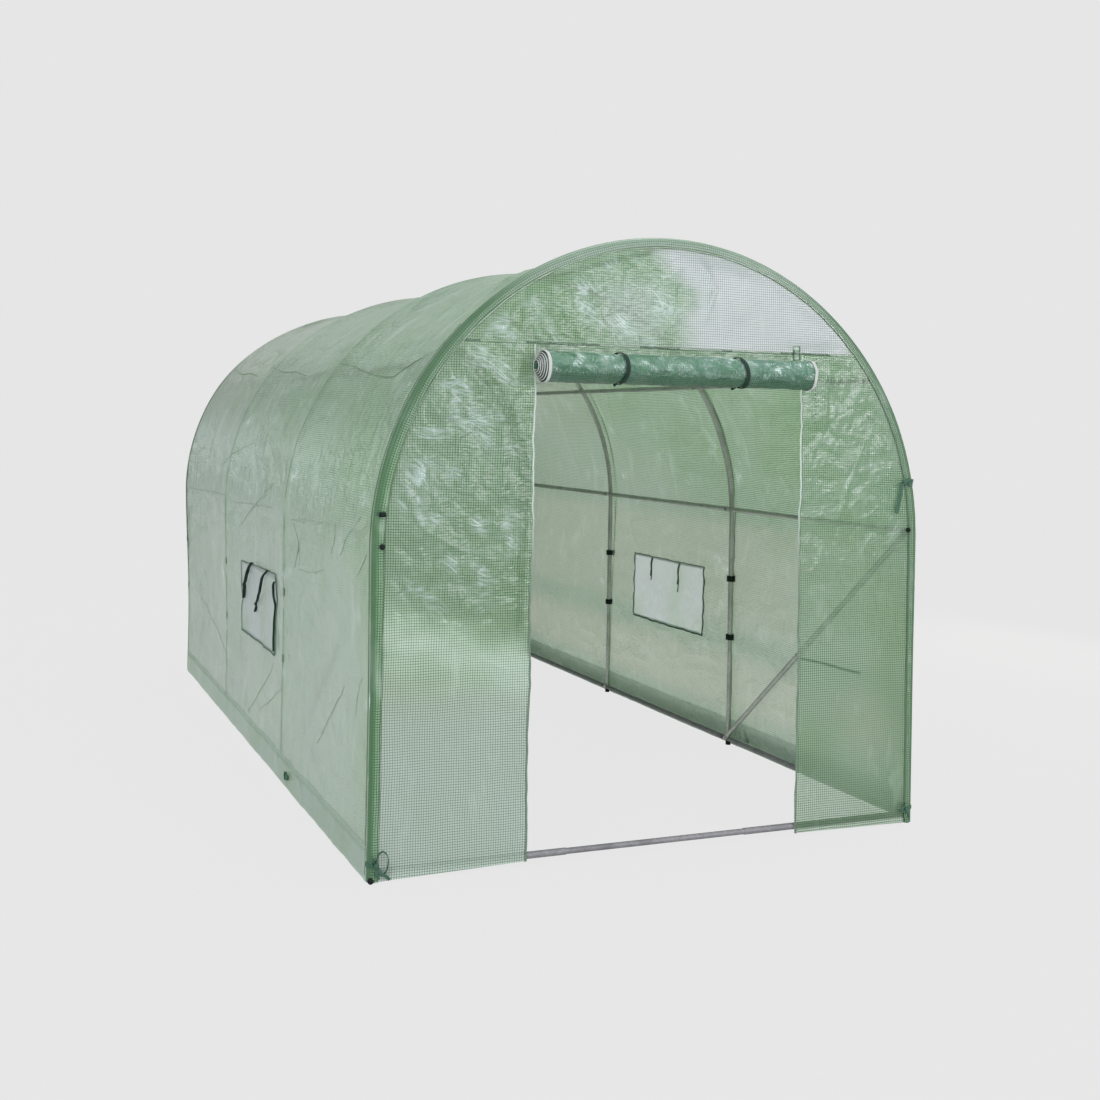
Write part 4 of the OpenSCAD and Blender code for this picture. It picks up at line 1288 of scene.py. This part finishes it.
seam = {"ends": 0.018, "wide": 0.0085, "thick": 0.0010, "out": 0.0010, "stitchOut": 0.0009, "zigzag": 0.0028,
        "shows": ((-0.74, -0.67), (-0.52, -0.26), (-0.12, 0.03), (0.19, 0.23), (0.42, 0.62))}     # where the dark thread shows
seamThread = {"Spacing": 0.0034, "Size": (0.0026, 0.0010, 0.0008), "Jitter": 0.2, "Seed": 5, "Material": darkThread}
zigzag, strips = [], []
x = np.linspace(-halfSeam + seam["ends"], halfSeam - seam["ends"], 420)
wavy = 0.0012 * wobble(x / 0.08, 14)
for side in (-1, 1):
    y = endY[side] + side * (seamDepth(x, side) + seam["out"])
    strips.append(bandShape(np.stack([x, y, seamZ + wavy], -1), (0, 0, 1.0), seam["wide"], seam["thick"]))
    run = np.stack([x, y + side * seam["stitchOut"], seamZ + wavy + seam["zigzag"] * (-1.0) ** np.arange(len(x))], -1)
    zigzag += [run[(x > low) & (x < high)] for low, high in seam["shows"]]
joinedPiece("gableSeams", strips, seamFilm, "green_webbing")
growRow("seamStitches", zigzag, seamThread, "green_webbing")


def tabShape(x, out, high, low, wide, thick):      # a strip hanging over the front seam
    y = endY[-1] - out - 0.0012 * np.sin(np.linspace(0, 9, 20))
    line = np.stack([np.full(20, x), y, np.linspace(seamZ + high, seamZ - low, 20)], -1)
    return bandShape(line, (1.0, 0, 0.05), wide, thick)


seamTab = joinedPiece("seamTab", [tabShape(0.483, 0.0030, 0.026, 0.024, 0.026, 0.0014)], hemFilm, "green_webbing")
setLook(seamTab, crumple=0.5, veil=0.0)
tabEdges = [tabShape(x, 0.0042, high, 0.022, 0.0030, 0.0010) for x, high in ((0.4715, 0.012), (0.4945, 0.026))]
joinedPiece("seamTabEdges", tabEdges, tieWebbing, "green_webbing")


# bands on the cover, and strips of dark film on it painted as shade of nips and folds

def coverBand(y, s, foot, across, wide, thick, more):      # s is counted from that foot
    return bandShape(coverPoint(y, fromFoot(s, foot), np.full(len(s), more)), across, wide, thick)


weltAndShade = {"in": 0.0012, "wave": 0.0016, "wide": 0.0048, "thick": 0.0012, "wallWide": 0.0105, "wallIn": 0.0160}
strips = []
for side in (-1, 1):         # welt where the cover's flange is sewn to the end panels, laid dark as painted shade of the crease at the tube
    s = np.linspace(0.02, pathLength - 0.02, 600)
    line, out = onHoop(s)
    inward = cover["flange"] + weltAndShade["in"] + weltAndShade["wave"] * wobble(s / 0.10, 21)
    inward = inward + 0.0006 * wobble(s / 0.022, 22)
    run = line - out * inward[:, None]
    run[:, 1] = endHoop[side] + side * (cover["endWrap"] + 0.0004)
    wide = weltAndShade["wide"] * smooth(0.3, 1.6, s) * (1 + 0.45 * wobble(s / 0.05, 23)) + 0.0008
    strips.append(bandShape(run, out, wide, weltAndShade["thick"]))
    for foot in (0, 1):      # and a dark strip painted as shade where the film dips in again on the wall side
        s = np.linspace(0.02, wallTop + 0.75, 260)
        y = endHoop[side] - side * (weltAndShade["wallIn"] + 0.0018 * wobble(s / 0.12, 24 + foot))
        wide = weltAndShade["wallWide"] * (1 - 0.75 * smooth(wallTop + 0.1, wallTop + 0.75, s))
        wide = wide * (1 + 0.30 * wobble(s / 0.06, 26 + foot))
        strips.append(coverBand(y, s, foot, (0, 1.0, 0), wide, weltAndShade["thick"], 0.0012))
joinedPiece("endWeltsAndShade", strips, shadedFilm, "green_film")

shadeStrip = {"hoopRuns": ((0.09, 0.40), (0.43, 0.66), (0.70, 1.02), (1.08, 1.60)), "hoopWide": (0.0085, 0.0055),
       "purlinRuns": ((0.64, 1.66, 0.010), (-0.20, 0.50, 0.006), (-1.02, -0.61, 0.011)), "purlinZ": 1.026, "purlinFall": 0.020,
       "thick": 0.0010, "more": 0.0009}
strips = []
for foot in (0, 1):          # dark strips painted as shade down the middle hoops, where the film presses on the tubes
    for k, h in enumerate(hoopY[1:3]):
        for low, high in shadeStrip["hoopRuns"]:
            s = np.linspace(low, high, 80)
            y = h + 0.0065 + 0.0030 * wobble(s / 0.07, 120 + k)
            wide = shadeStrip["hoopWide"][k] * swell(80, 0.05, 0.4) * (1 + 0.5 * wobble(s / 0.05, 124 + k))
            strips.append(coverBand(y, s, foot, (0, 1.0, 0), wide, shadeStrip["thick"], shadeStrip["more"]))
    for low, high, wide in shadeStrip["purlinRuns"] if foot == 0 else ():       # and along the left purlin
        y = np.linspace(low, high, 90)
        s = shadeStrip["purlinZ"] - shadeStrip["purlinFall"] * (y - low) / (high - low) + 0.0035 * wobble(y / 0.12, 131)
        wide = wide * swell(90, 0.05, 0.5) * (1 + 0.6 * wobble(y / 0.05, 132))
        strips.append(coverBand(y, s, foot, (0, 0, 1.0), wide, shadeStrip["thick"], shadeStrip["more"]))
joinedPiece("hoopShadeStrips", strips, shadeStripFilm, "green_film")

collarLow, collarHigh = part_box("left_collars")
collarMark = {"high": 0.028, "wide": (0.024, 0.017, 0.014), "z": (collarLow.z + 0.012, collarHigh.z - 0.012)}
strips = []
for foot in (0, 1):          # the collars show through as dark marks, painted with their shade
    for k, h in enumerate(hoopY[1:]):
        for z in collarMark["z"]:
            s = np.linspace(z - collarMark["high"] / 2, z + collarMark["high"] / 2, 8)
            y = np.full(8, h - 0.014 * (k == 2)) + 0.003
            strips.append(coverBand(y, s, foot, (0, 1.0, 0), collarMark["wide"][k], 0.0014, 0.0014))
joinedPiece("collarMarks", strips, shadedFilm, "green_film")

tack = {"x": 0.5585, "every": 0.0135, "from": 1.405, "to": 1.632, "wide": 0.0022, "thick": 0.0008,
        "stitch": ((0.0, 0.0095, 0.0), (0.0004, 0.0112, 0.0035), (0.0, 0.0095, 0.007))}
innerDarkStrip = [(0.530, 0.009, 0.600), (0.61, 0.010, 0.583), (0.69, 0.009, 0.560), (0.778, 0.009, 0.537)]     # x, inside, z
strips = []
for z in np.arange(tack["from"], tack["to"], tack["every"]):         # tacking stitches beside the doorway
    x = tack["x"] + 0.0015 * math.sin(z * 40)
    stitch = [[x + dx, endY[-1] - out, z + up] for dx, out, up in tack["stitch"]]
    strips.append(bandShape(np.array(stitch), (1.0, 0, 0), tack["wide"], tack["thick"]))
# a dark strip laid just behind the right panel
line = through([(x, endY[-1] + inside, z) for x, inside, z in innerDarkStrip], 30)
strips.append(bandShape(line, (0.25, 0, 1.0), 0.0085, 0.0014))
joinedPiece("panelTackingAndDarkStrip", strips, tieWebbing, "green_webbing")

wallFoldShades = [       # y, z and width of dark strips painted as shade along the sharper folds of the left wall
    ([(-0.197, 1.125), (-0.042, 1.068), (0.181, 0.988)], 0.010),
    ([(-0.118, 1.076), (0.132, 1.012), (0.358, 0.912)], 0.008),
    ([(-1.208, 1.039), (-1.199, 0.990), (-1.158, 0.934)], 0.012),
    ([(-1.517, 1.081), (-1.387, 1.025), (-1.271, 0.939)], 0.012),
    ([(-1.629, 0.976), (-1.559, 0.942), (-1.486, 0.898)], 0.012),
    ([(-0.290, 0.407), (-0.097, 0.277), (0.119, 0.128)], 0.009),
    ([(-0.700, 0.830), (-0.871, 0.837), (-1.054, 0.868)], 0.010),
    ([(-0.640, 0.996), (-0.700, 0.923), (-0.655, 0.831)], 0.014),
    ([(0.372, 1.280), (0.716, 1.194), (0.916, 1.153)], 0.007),
    ([(-1.020, 0.258), (-1.156, 0.388), (-1.331, 0.519)], 0.008),
    ([(1.463, 0.439), (1.013, 0.344), (0.643, 0.278)], 0.008),
    ([(-0.485, 0.353), (-0.276, 0.258), (-0.068, 0.172)], 0.007),
    ([(-1.593, 0.599), (-1.501, 0.522), (-1.484, 0.458)], 0.010),
]
strips = []
for k, (line, wide) in enumerate(wallFoldShades):
    y, s = through(line, 70).T
    way = unit(np.array([0, -(line[-1][1] - line[0][1]), line[-1][0] - line[0][0]]))
    wide = 0.75 * wide * (0.2 + 0.8 * swell(70, 0.05)) * (1 + 0.5 * softNoise(y / 0.04, s / 0.04, 191 + k))
    strips.append(coverBand(y, s + 0.0030 * wobble(y / 0.05, 171 + k), 0, way, wide, 0.0010, 0.0008))
joinedPiece("leftWallFoldShades", strips, shadeStripFilm, "green_film")

shoulderShadeLines = [     # y and angle round the hoop of dark lines painted as shade, where the cover is nipped over the shoulder
    [(1.75, 139.7), (1.45, 141.8), (1.22, 142.0), (0.99, 143.5)],
    [(0.74, 141.1), (0.45, 142.9), (0.22, 143.0), (0.0, 144.4)],
    [(-0.53, 142.6), (-0.72, 143.4), (-0.85, 144.6), (-1.08, 146.4), (-1.31, 147.2), (-1.40, 145.6), (-1.52, 143.8)],
]
for foot, name in enumerate(("leftShoulderShade", "rightShoulderShade")):
    strips = []
    for line in shoulderShadeLines:
        y, s = through([(y, wallTop + archR * math.radians(180 - a)) for y, a in line], 60).T
        wide = 0.0050 * (0.35 + 0.65 * swell(60, 0.06)) * (1 + 0.5 * wobble(y / 0.07, 18))
        strips.append(coverBand(y, s + 0.0022 * wobble(y / 0.05, 17), foot, (0.5, 0, 0.85), wide, 0.0012, 0.0012))
    joinedPiece(name, strips, sleeveAndShadeFilm, "green_film")

hemThread = {"Spacing": 0.008, "Size": (0.0026, 0.0005, 0.0005), "Jitter": 0.2, "Seed": 6, "Material": paleThread}
hemRuns = []
y = np.linspace(hoopY[0] + 0.01, hoopY[3] - 0.01, 900)
for foot in (0, 1):
    for height, waves in ((hemTop - 0.016, 1), (filmBottom + 0.010, 0)):
        s = fromFoot(height + hemWave(y, foot) * waves, foot)
        hemRuns.append(coverPoint(y, s, np.full(len(y), cover["hemLift"] + 0.0006)))
growRow("hemStitches", hemRuns, hemThread, "zip_tape")


# bolts where the rods meet the hoops

bolts = {"step": 0.0022, "postHalf": 0.0095, "braceFace": 0.9695, "gap": 0.0002}
nuts = {"Across": 0.0062, "Height": 0.0048, "Shank": 0.0029, "Stick Out": 0.0085, "Seed": 2, "Material": zincPlate}
boltPoints, boltFacing = [], []
for k, h in enumerate(hoopY):
    for s in supports:
        line, out = onHoop(s)
        height = min(s, pathLength - s)
        onPost = height < 0.1
        deep = (bolts["postHalf"] if onPost else tubeR) + bolts["step"] * (1 if k in (0, 3) else 2)
        if (k == 1 and onPost) or (k == 0 and abs(height - wallTop - purlinUp) < 0.01):       # at the brace's two ends
            deep = archR - bolts["braceFace"]
        spot = line - out * (deep + bolts["gap"])
        spot[1] = h
        boltPoints.append(spot)
        boltFacing.append(-out)
grow("frameBolts", boltPoints, [], boltsTree, nuts, "galvanised_steel", boltFacing)


# ties, clip and knobs on the front hoop

face = endHoop[-1] - cover["endWrap"]
knotX = archR + skin         # the wall's face at a hoop


def hoopBand(z, wide, side):      # a strap round the covered front hoop
    line, out = onHoop(np.array(z if side < 0 else pathLength - z))
    a = np.linspace(0, 2 * math.pi, 33)
    ring = line + (out * np.cos(a)[:, None] + np.array([0, -1.0, 0]) * np.sin(a)[:, None]) * (cover["endWrap"] + 0.0018)
    ring[:, 1] += hoopY[0]
    return bandShape(ring, (0, 0, 1.0), wide, 0.0018)


def tie(points, count, across, wide, thick=0.0018):      # points are x, distance out from the hoop's face, and z
    return bandShape(through([(x, face - out, z) for x, out, z in points], count), across, wide, thick)


ties = [
    hoopBand(1.20, 0.012, 1),
    tie([(0.978, 0.002, 1.206), (0.955, 0.005, 1.209), (0.932, 0.007, 1.206), (0.924, 0.0085, 1.193), (0.921, 0.007, 1.165),
         (0.914, 0.006, 1.130), (0.906, 0.005, 1.096)], 36, (0.55, 0, 0.75), 0.0175),
    tie([(0.975, 0.003, 1.199), (0.962, 0.0085, 1.196), (0.955, 0.0080, 1.200)], 14, (0.2, 0, 1.0), 0.014),
    tie([(0.970, 0.004, 0.072), (0.955, 0.012, 0.064), (0.944, 0.008, 0.050), (0.958, 0.005, 0.044), (0.972, 0.004, 0.052)],
        36, (0.3, 0, 1.0), 0.008, 0.0016),
    tie([(0.968, 0.004, 0.050), (0.980, 0.006, 0.036), (0.986, 0.003, 0.020)], 24, (1.0, 0, 0.2), 0.008, 0.0016),
    hoopBand(0.056, 0.012, 1), hoopBand(0.056, 0.013, -1),
    tie([(-0.978, 0.006, 0.062), (-0.972, 0.010, 0.088), (-0.958, 0.012, 0.098), (-0.944, 0.012, 0.084), (-0.941, 0.010, 0.060),
         (-0.947, 0.008, 0.036), (-0.962, 0.007, 0.026), (-0.975, 0.006, 0.044)], 60, (0.1, 0.9, 0.3), 0.009, 0.0020),
    tie([(-0.980, 0.006, 0.064), (-0.990, 0.012, 0.078), (-0.996, 0.010, 0.066), (-0.986, 0.007, 0.054)],
        30, (-0.4, 0, 1.0), 0.009),
    tie([(-0.976, 0.006, 0.054), (-0.962, 0.012, 0.032), (-0.946, 0.010, 0.022), (-0.934, 0.006, 0.010)],
        30, (1.0, 0, 0.3), 0.009),
    tie([(-0.979, 0.006, 0.054), (-0.976, 0.011, 0.034), (-0.968, 0.006, 0.014)], 26, (1.0, 0, -0.3), 0.009),
    latheShape([(0.001, -0.002), (0.0075, 0.0), (0.0085, 0.005), (0.006, 0.0095), (0.001, 0.0105)],
               (-0.9775, face - 0.004, 0.056), (0, -1, 0), 16),
    latheShape([(0.001, -0.002), (0.006, 0.0), (0.0068, 0.004), (0.005, 0.0075), (0.001, 0.0085)],
               (0.970, face - 0.003, 0.055), (0, -1, 0), 16),
    hoopBand(1.106, 0.010, -1),
]
knot = [(0.001, 0.0), (0.009, 0.001), (0.012, 0.005), (0.008, 0.009), (0.001, 0.010)]
knotLoop = [(0.006, -0.655, 0.050), (0.009, -0.640, 0.066), (0.008, -0.628, 0.050), (0.009, -0.640, 0.036),
            (0.006, -0.652, 0.044)]
for side in (-1, 1):         # knots beside the second hoop's feet
    ties.append(latheShape(knot, (side * (knotX + 0.001), -0.655, 0.047), (side, 0, 0), 14))
    loop = through([(side * (knotX + out), y, z) for out, y, z in knotLoop], 30)
    ties.append(bandShape(loop, (side, 0, 0.2), 0.008, 0.0018))
joinedPiece("frontTies", ties, tieWebbing, "green_webbing")


def roundedBlock(centre, size, edge):
    ring = []
    for quarter, (cx, cy) in enumerate(((1, 1), (-1, 1), (-1, -1), (1, -1))):
        for k in range(4):
            a = math.radians(90 * quarter + k * 30)
            ring.append((cx * (size[0] / 2 - edge) + edge * math.cos(a), cy * (size[1] / 2 - edge) + edge * math.sin(a)))
    ring = np.array(ring)
    steps = [(-0.5, edge), (-0.5 + edge / size[2], 0.0), (0.5 - edge / size[2], 0.0), (0.5, edge)]
    across = max(size[0], size[1])
    levels = [np.column_stack([ring * (1 - 2 * inset / across), np.full(len(ring), h * size[2])]) for h, inset in steps]
    points = np.concatenate(levels) + np.asarray(centre)
    return points, ringFaces(len(steps), len(ring)), points[:, :2].copy()


fittings = [
    latheShape([(0.0005, 0.0), (0.0080, 0.0), (0.0092, 0.0015), (0.0092, 0.008), (0.0070, 0.0105), (0.0005, 0.011)],
               (-0.9925, face + 0.004, 0.0095), (0, -1, 0), 20),
    roundedBlock((-0.9785, face - 0.0065, 1.105), (0.021, 0.009, 0.015), 0.002),
    roundedBlock((-0.9785, face - 0.0115, 1.105), (0.012, 0.004, 0.009), 0.001),
    latheShape([(0.0005, 0.0), (0.0062, 0.0), (0.0085, 0.0015), (0.0088, 0.006), (0.0078, 0.0085), (0.0045, 0.0100),
                (0.0005, 0.0103)], (-0.9765, face - 0.0004, 1.008), (0, -1, 0), 24),
    latheShape([(0.0005, 0.0), (0.0062, 0.0), (0.0088, 0.0015), (0.0092, 0.0045), (0.0070, 0.0065), (0.0005, 0.0070)],
               (0.960, face - 0.0004, 1.036), (0, -1, 0), 20),
]
joinedPiece("hoopFittings", fittings, blackPlastic, "black_plastic")
frontNut = {"Across": 0.0050, "Height": 0.0035, "Shank": 0.0025, "Stick Out": 0.0050, "Seed": 9, "Material": blackPlastic}
grow("frontBolt", [(0.960, face - 0.0066, 1.036)], [], boltsTree, frontNut, "galvanised_steel", [(0, -1.0, 0)])
print("ties and fittings made")


# floor, light and camera

backdrop = 0.791        # the pale tone behind everything, linear


def showFlat(tree):     # rays that find the plain backdrop
    path = add(tree, "ShaderNodeLightPath")
    seen = calc(tree, "MAXIMUM", path.outputs["Is Camera Ray"], path.outputs["Is Glossy Ray"])
    return calc(tree, "MAXIMUM", seen, path.outputs["Is Transmission Ray"])


floorLook = {"half": 20.0, "drop": 0.0006, "shade": 0.03, "near": 2.6, "far": 7.0,
             "pale": (0.80, 0.80, 0.80), "grain": (0.74, 0.74, 0.74)}
floorMaterial, tree = newMaterial("studio floor", (0.79, 0.79, 0.79))
place = add(tree, "ShaderNodeNewGeometry").outputs["Position"]
away = add(tree, "ShaderNodeVectorMath", {"operation": "LENGTH"}, {0: place}).outputs["Value"]
grain = noise(tree, place, 3.0, 3.0)
paint = blendColour(tree, times(tree, grain, 0.04), floorLook["pale"], floorLook["grain"])
matt = firstOut(tree, "ShaderNodeBsdfDiffuse", {}, {"Color": paint})
lit = firstOut(tree, "ShaderNodeEmission", {}, {"Color": (backdrop, backdrop, backdrop, 1), "Strength": 1.0})
share = ramp(tree, away, floorLook["near"], floorLook["far"], 1 - floorLook["shade"], 1.0)
output(tree, mixShaders(tree, times(tree, showFlat(tree), share), matt, lit))
half, low = floorLook["half"], -floorLook["drop"]
corners = [(a * half, b * half, low) for a, b in ((-1, -1), (1, -1), (1, 1), (-1, 1))]
floor = buildPiece("floor", corners, [(0, 1, 2, 3)], materials=[floorMaterial], rounded=False)

room = {"light": 0.76, "lightColour": (0.97, 1.0, 1.0, 1), "gloss": (0.95, 0.98, 1.0, 1), "dark": 0.55}
world = bpy.data.worlds.new("studio")
bpy.context.scene.world = world
world.use_nodes = True
tree = world.node_tree
tree.nodes.clear()
plain = firstOut(tree, "ShaderNodeBackground", {}, {"Color": (backdrop, backdrop, backdrop, 1), "Strength": 1.0})
sky = add(tree, "ShaderNodeTexCoord").outputs["Generated"]
way = add(tree, "ShaderNodeSeparateXYZ", {}, {0: sky})
upward = way.outputs[2]
behind = times(tree, ramp(tree, way.outputs[1], 0.3, 0.8), ramp(tree, way.outputs[0], 0.1, -0.1))
corner = times(tree, behind, ramp(tree, upward, 0.18, 0.02), room["dark"])          # a dark corner of the room
dim = calc(tree, "SUBTRACT", 1.0, corner)
panels = ramp(tree, noise(tree, sky, 3.6, 1.0), 0.38, 0.62, 0.62, 1.38)
gloss = times(tree, times(tree, panels, dim), ramp(tree, upward, 0.0, 0.6, 0.80, 1.25))
mirrored = firstOut(tree, "ShaderNodeBackground", {}, {"Color": room["gloss"], "Strength": gloss})
soft = firstOut(tree, "ShaderNodeBackground", {}, {"Color": room["lightColour"], "Strength": room["light"]})
shown = mixShaders(tree, add(tree, "ShaderNodeLightPath").outputs["Is Glossy Ray"], plain, mirrored)
add(tree, "ShaderNodeOutputWorld", {}, {"Surface": mixShaders(tree, showFlat(tree), soft, shown)})

lamps = {
    "strokeBox": {"at": (1.6, -6.1, 1.95), "aim": (-0.7, -1.7, 1.2), "size": (0.8, 1.0), "power": 66.0,
                  "colour": (0.96, 0.98, 1.0), "diffuse": True},
    "gableBox": {"at": (3.4, -5.75, 2.38), "aim": (0.5, -1.7, 1.8), "size": (1.9, 0.8), "power": 91.0,
                 "colour": (1.0, 0.90, 1.0), "diffuse": False},         # only shows as a gloss
    "rightBox": {"at": (5.0, 0.9, 1.1), "aim": (1.0, 0.5, 0.3), "size": (3.0, 1.4), "power": 112.0,
                 "colour": (1.0, 0.96, 0.88), "diffuse": True},
    "leftBox": {"at": (-4.4, -4.8, 3.4), "aim": (-1.0, -0.3, 1.1), "size": (1.4, 1.2), "power": 68.0,
                "colour": (0.95, 0.98, 1.0), "diffuse": True},
    "topBox": {"at": (1.2, -1.2, 5.6), "aim": (0.1, -0.8, 1.4), "size": (1.6, 1.6), "power": 84.0,
               "colour": (1.0, 1.0, 1.0), "diffuse": True},
}
for name, one in lamps.items():
    light = bpy.data.lights.new(name, "AREA")
    light.shape = "RECTANGLE"
    light.size, light.size_y = one["size"]
    light.energy = one["power"]
    light.color = one["colour"]
    lamp = bpy.data.objects.new(name, light)
    lamp.location = one["at"]
    lamp.visible_diffuse = one["diffuse"]
    lamp.rotation_euler = (Vector(one["aim"]) - Vector(one["at"])).to_track_quat("-Z", "Y").to_euler()
    bpy.context.scene.collection.objects.link(lamp)
sunLook = {"power": 0.7, "spread": 22, "way": (0.45, 0.55, -1.0)}
sunLight = bpy.data.lights.new("softSun", "SUN")
sunLight.energy = sunLook["power"]
sunLight.angle = math.radians(sunLook["spread"])
sun = bpy.data.objects.new("softSun", sunLight)
sun.rotation_euler = Vector(sunLook["way"]).to_track_quat("-Z", "Y").to_euler()
bpy.context.scene.collection.objects.link(sun)

view = {"at": (-2.1264, -5.4183, 1.3802), "turn": (90.2923, -1.0657, -20.9585), "lens": 42.42, "sensor": 36,
        "shift": (0.0730, -0.1204)}
cameraData = bpy.data.cameras.new("camera")
cameraData.sensor_width = view["sensor"]
cameraData.lens = view["lens"]
cameraData.shift_x, cameraData.shift_y = view["shift"]
camera = bpy.data.objects.new("camera", cameraData)
camera.location = view["at"]
camera.rotation_euler = [math.radians(a) for a in view["turn"]]
bpy.context.scene.collection.objects.link(camera)
bpy.context.scene.camera = camera
bpy.context.scene.view_settings.view_transform = "Standard"
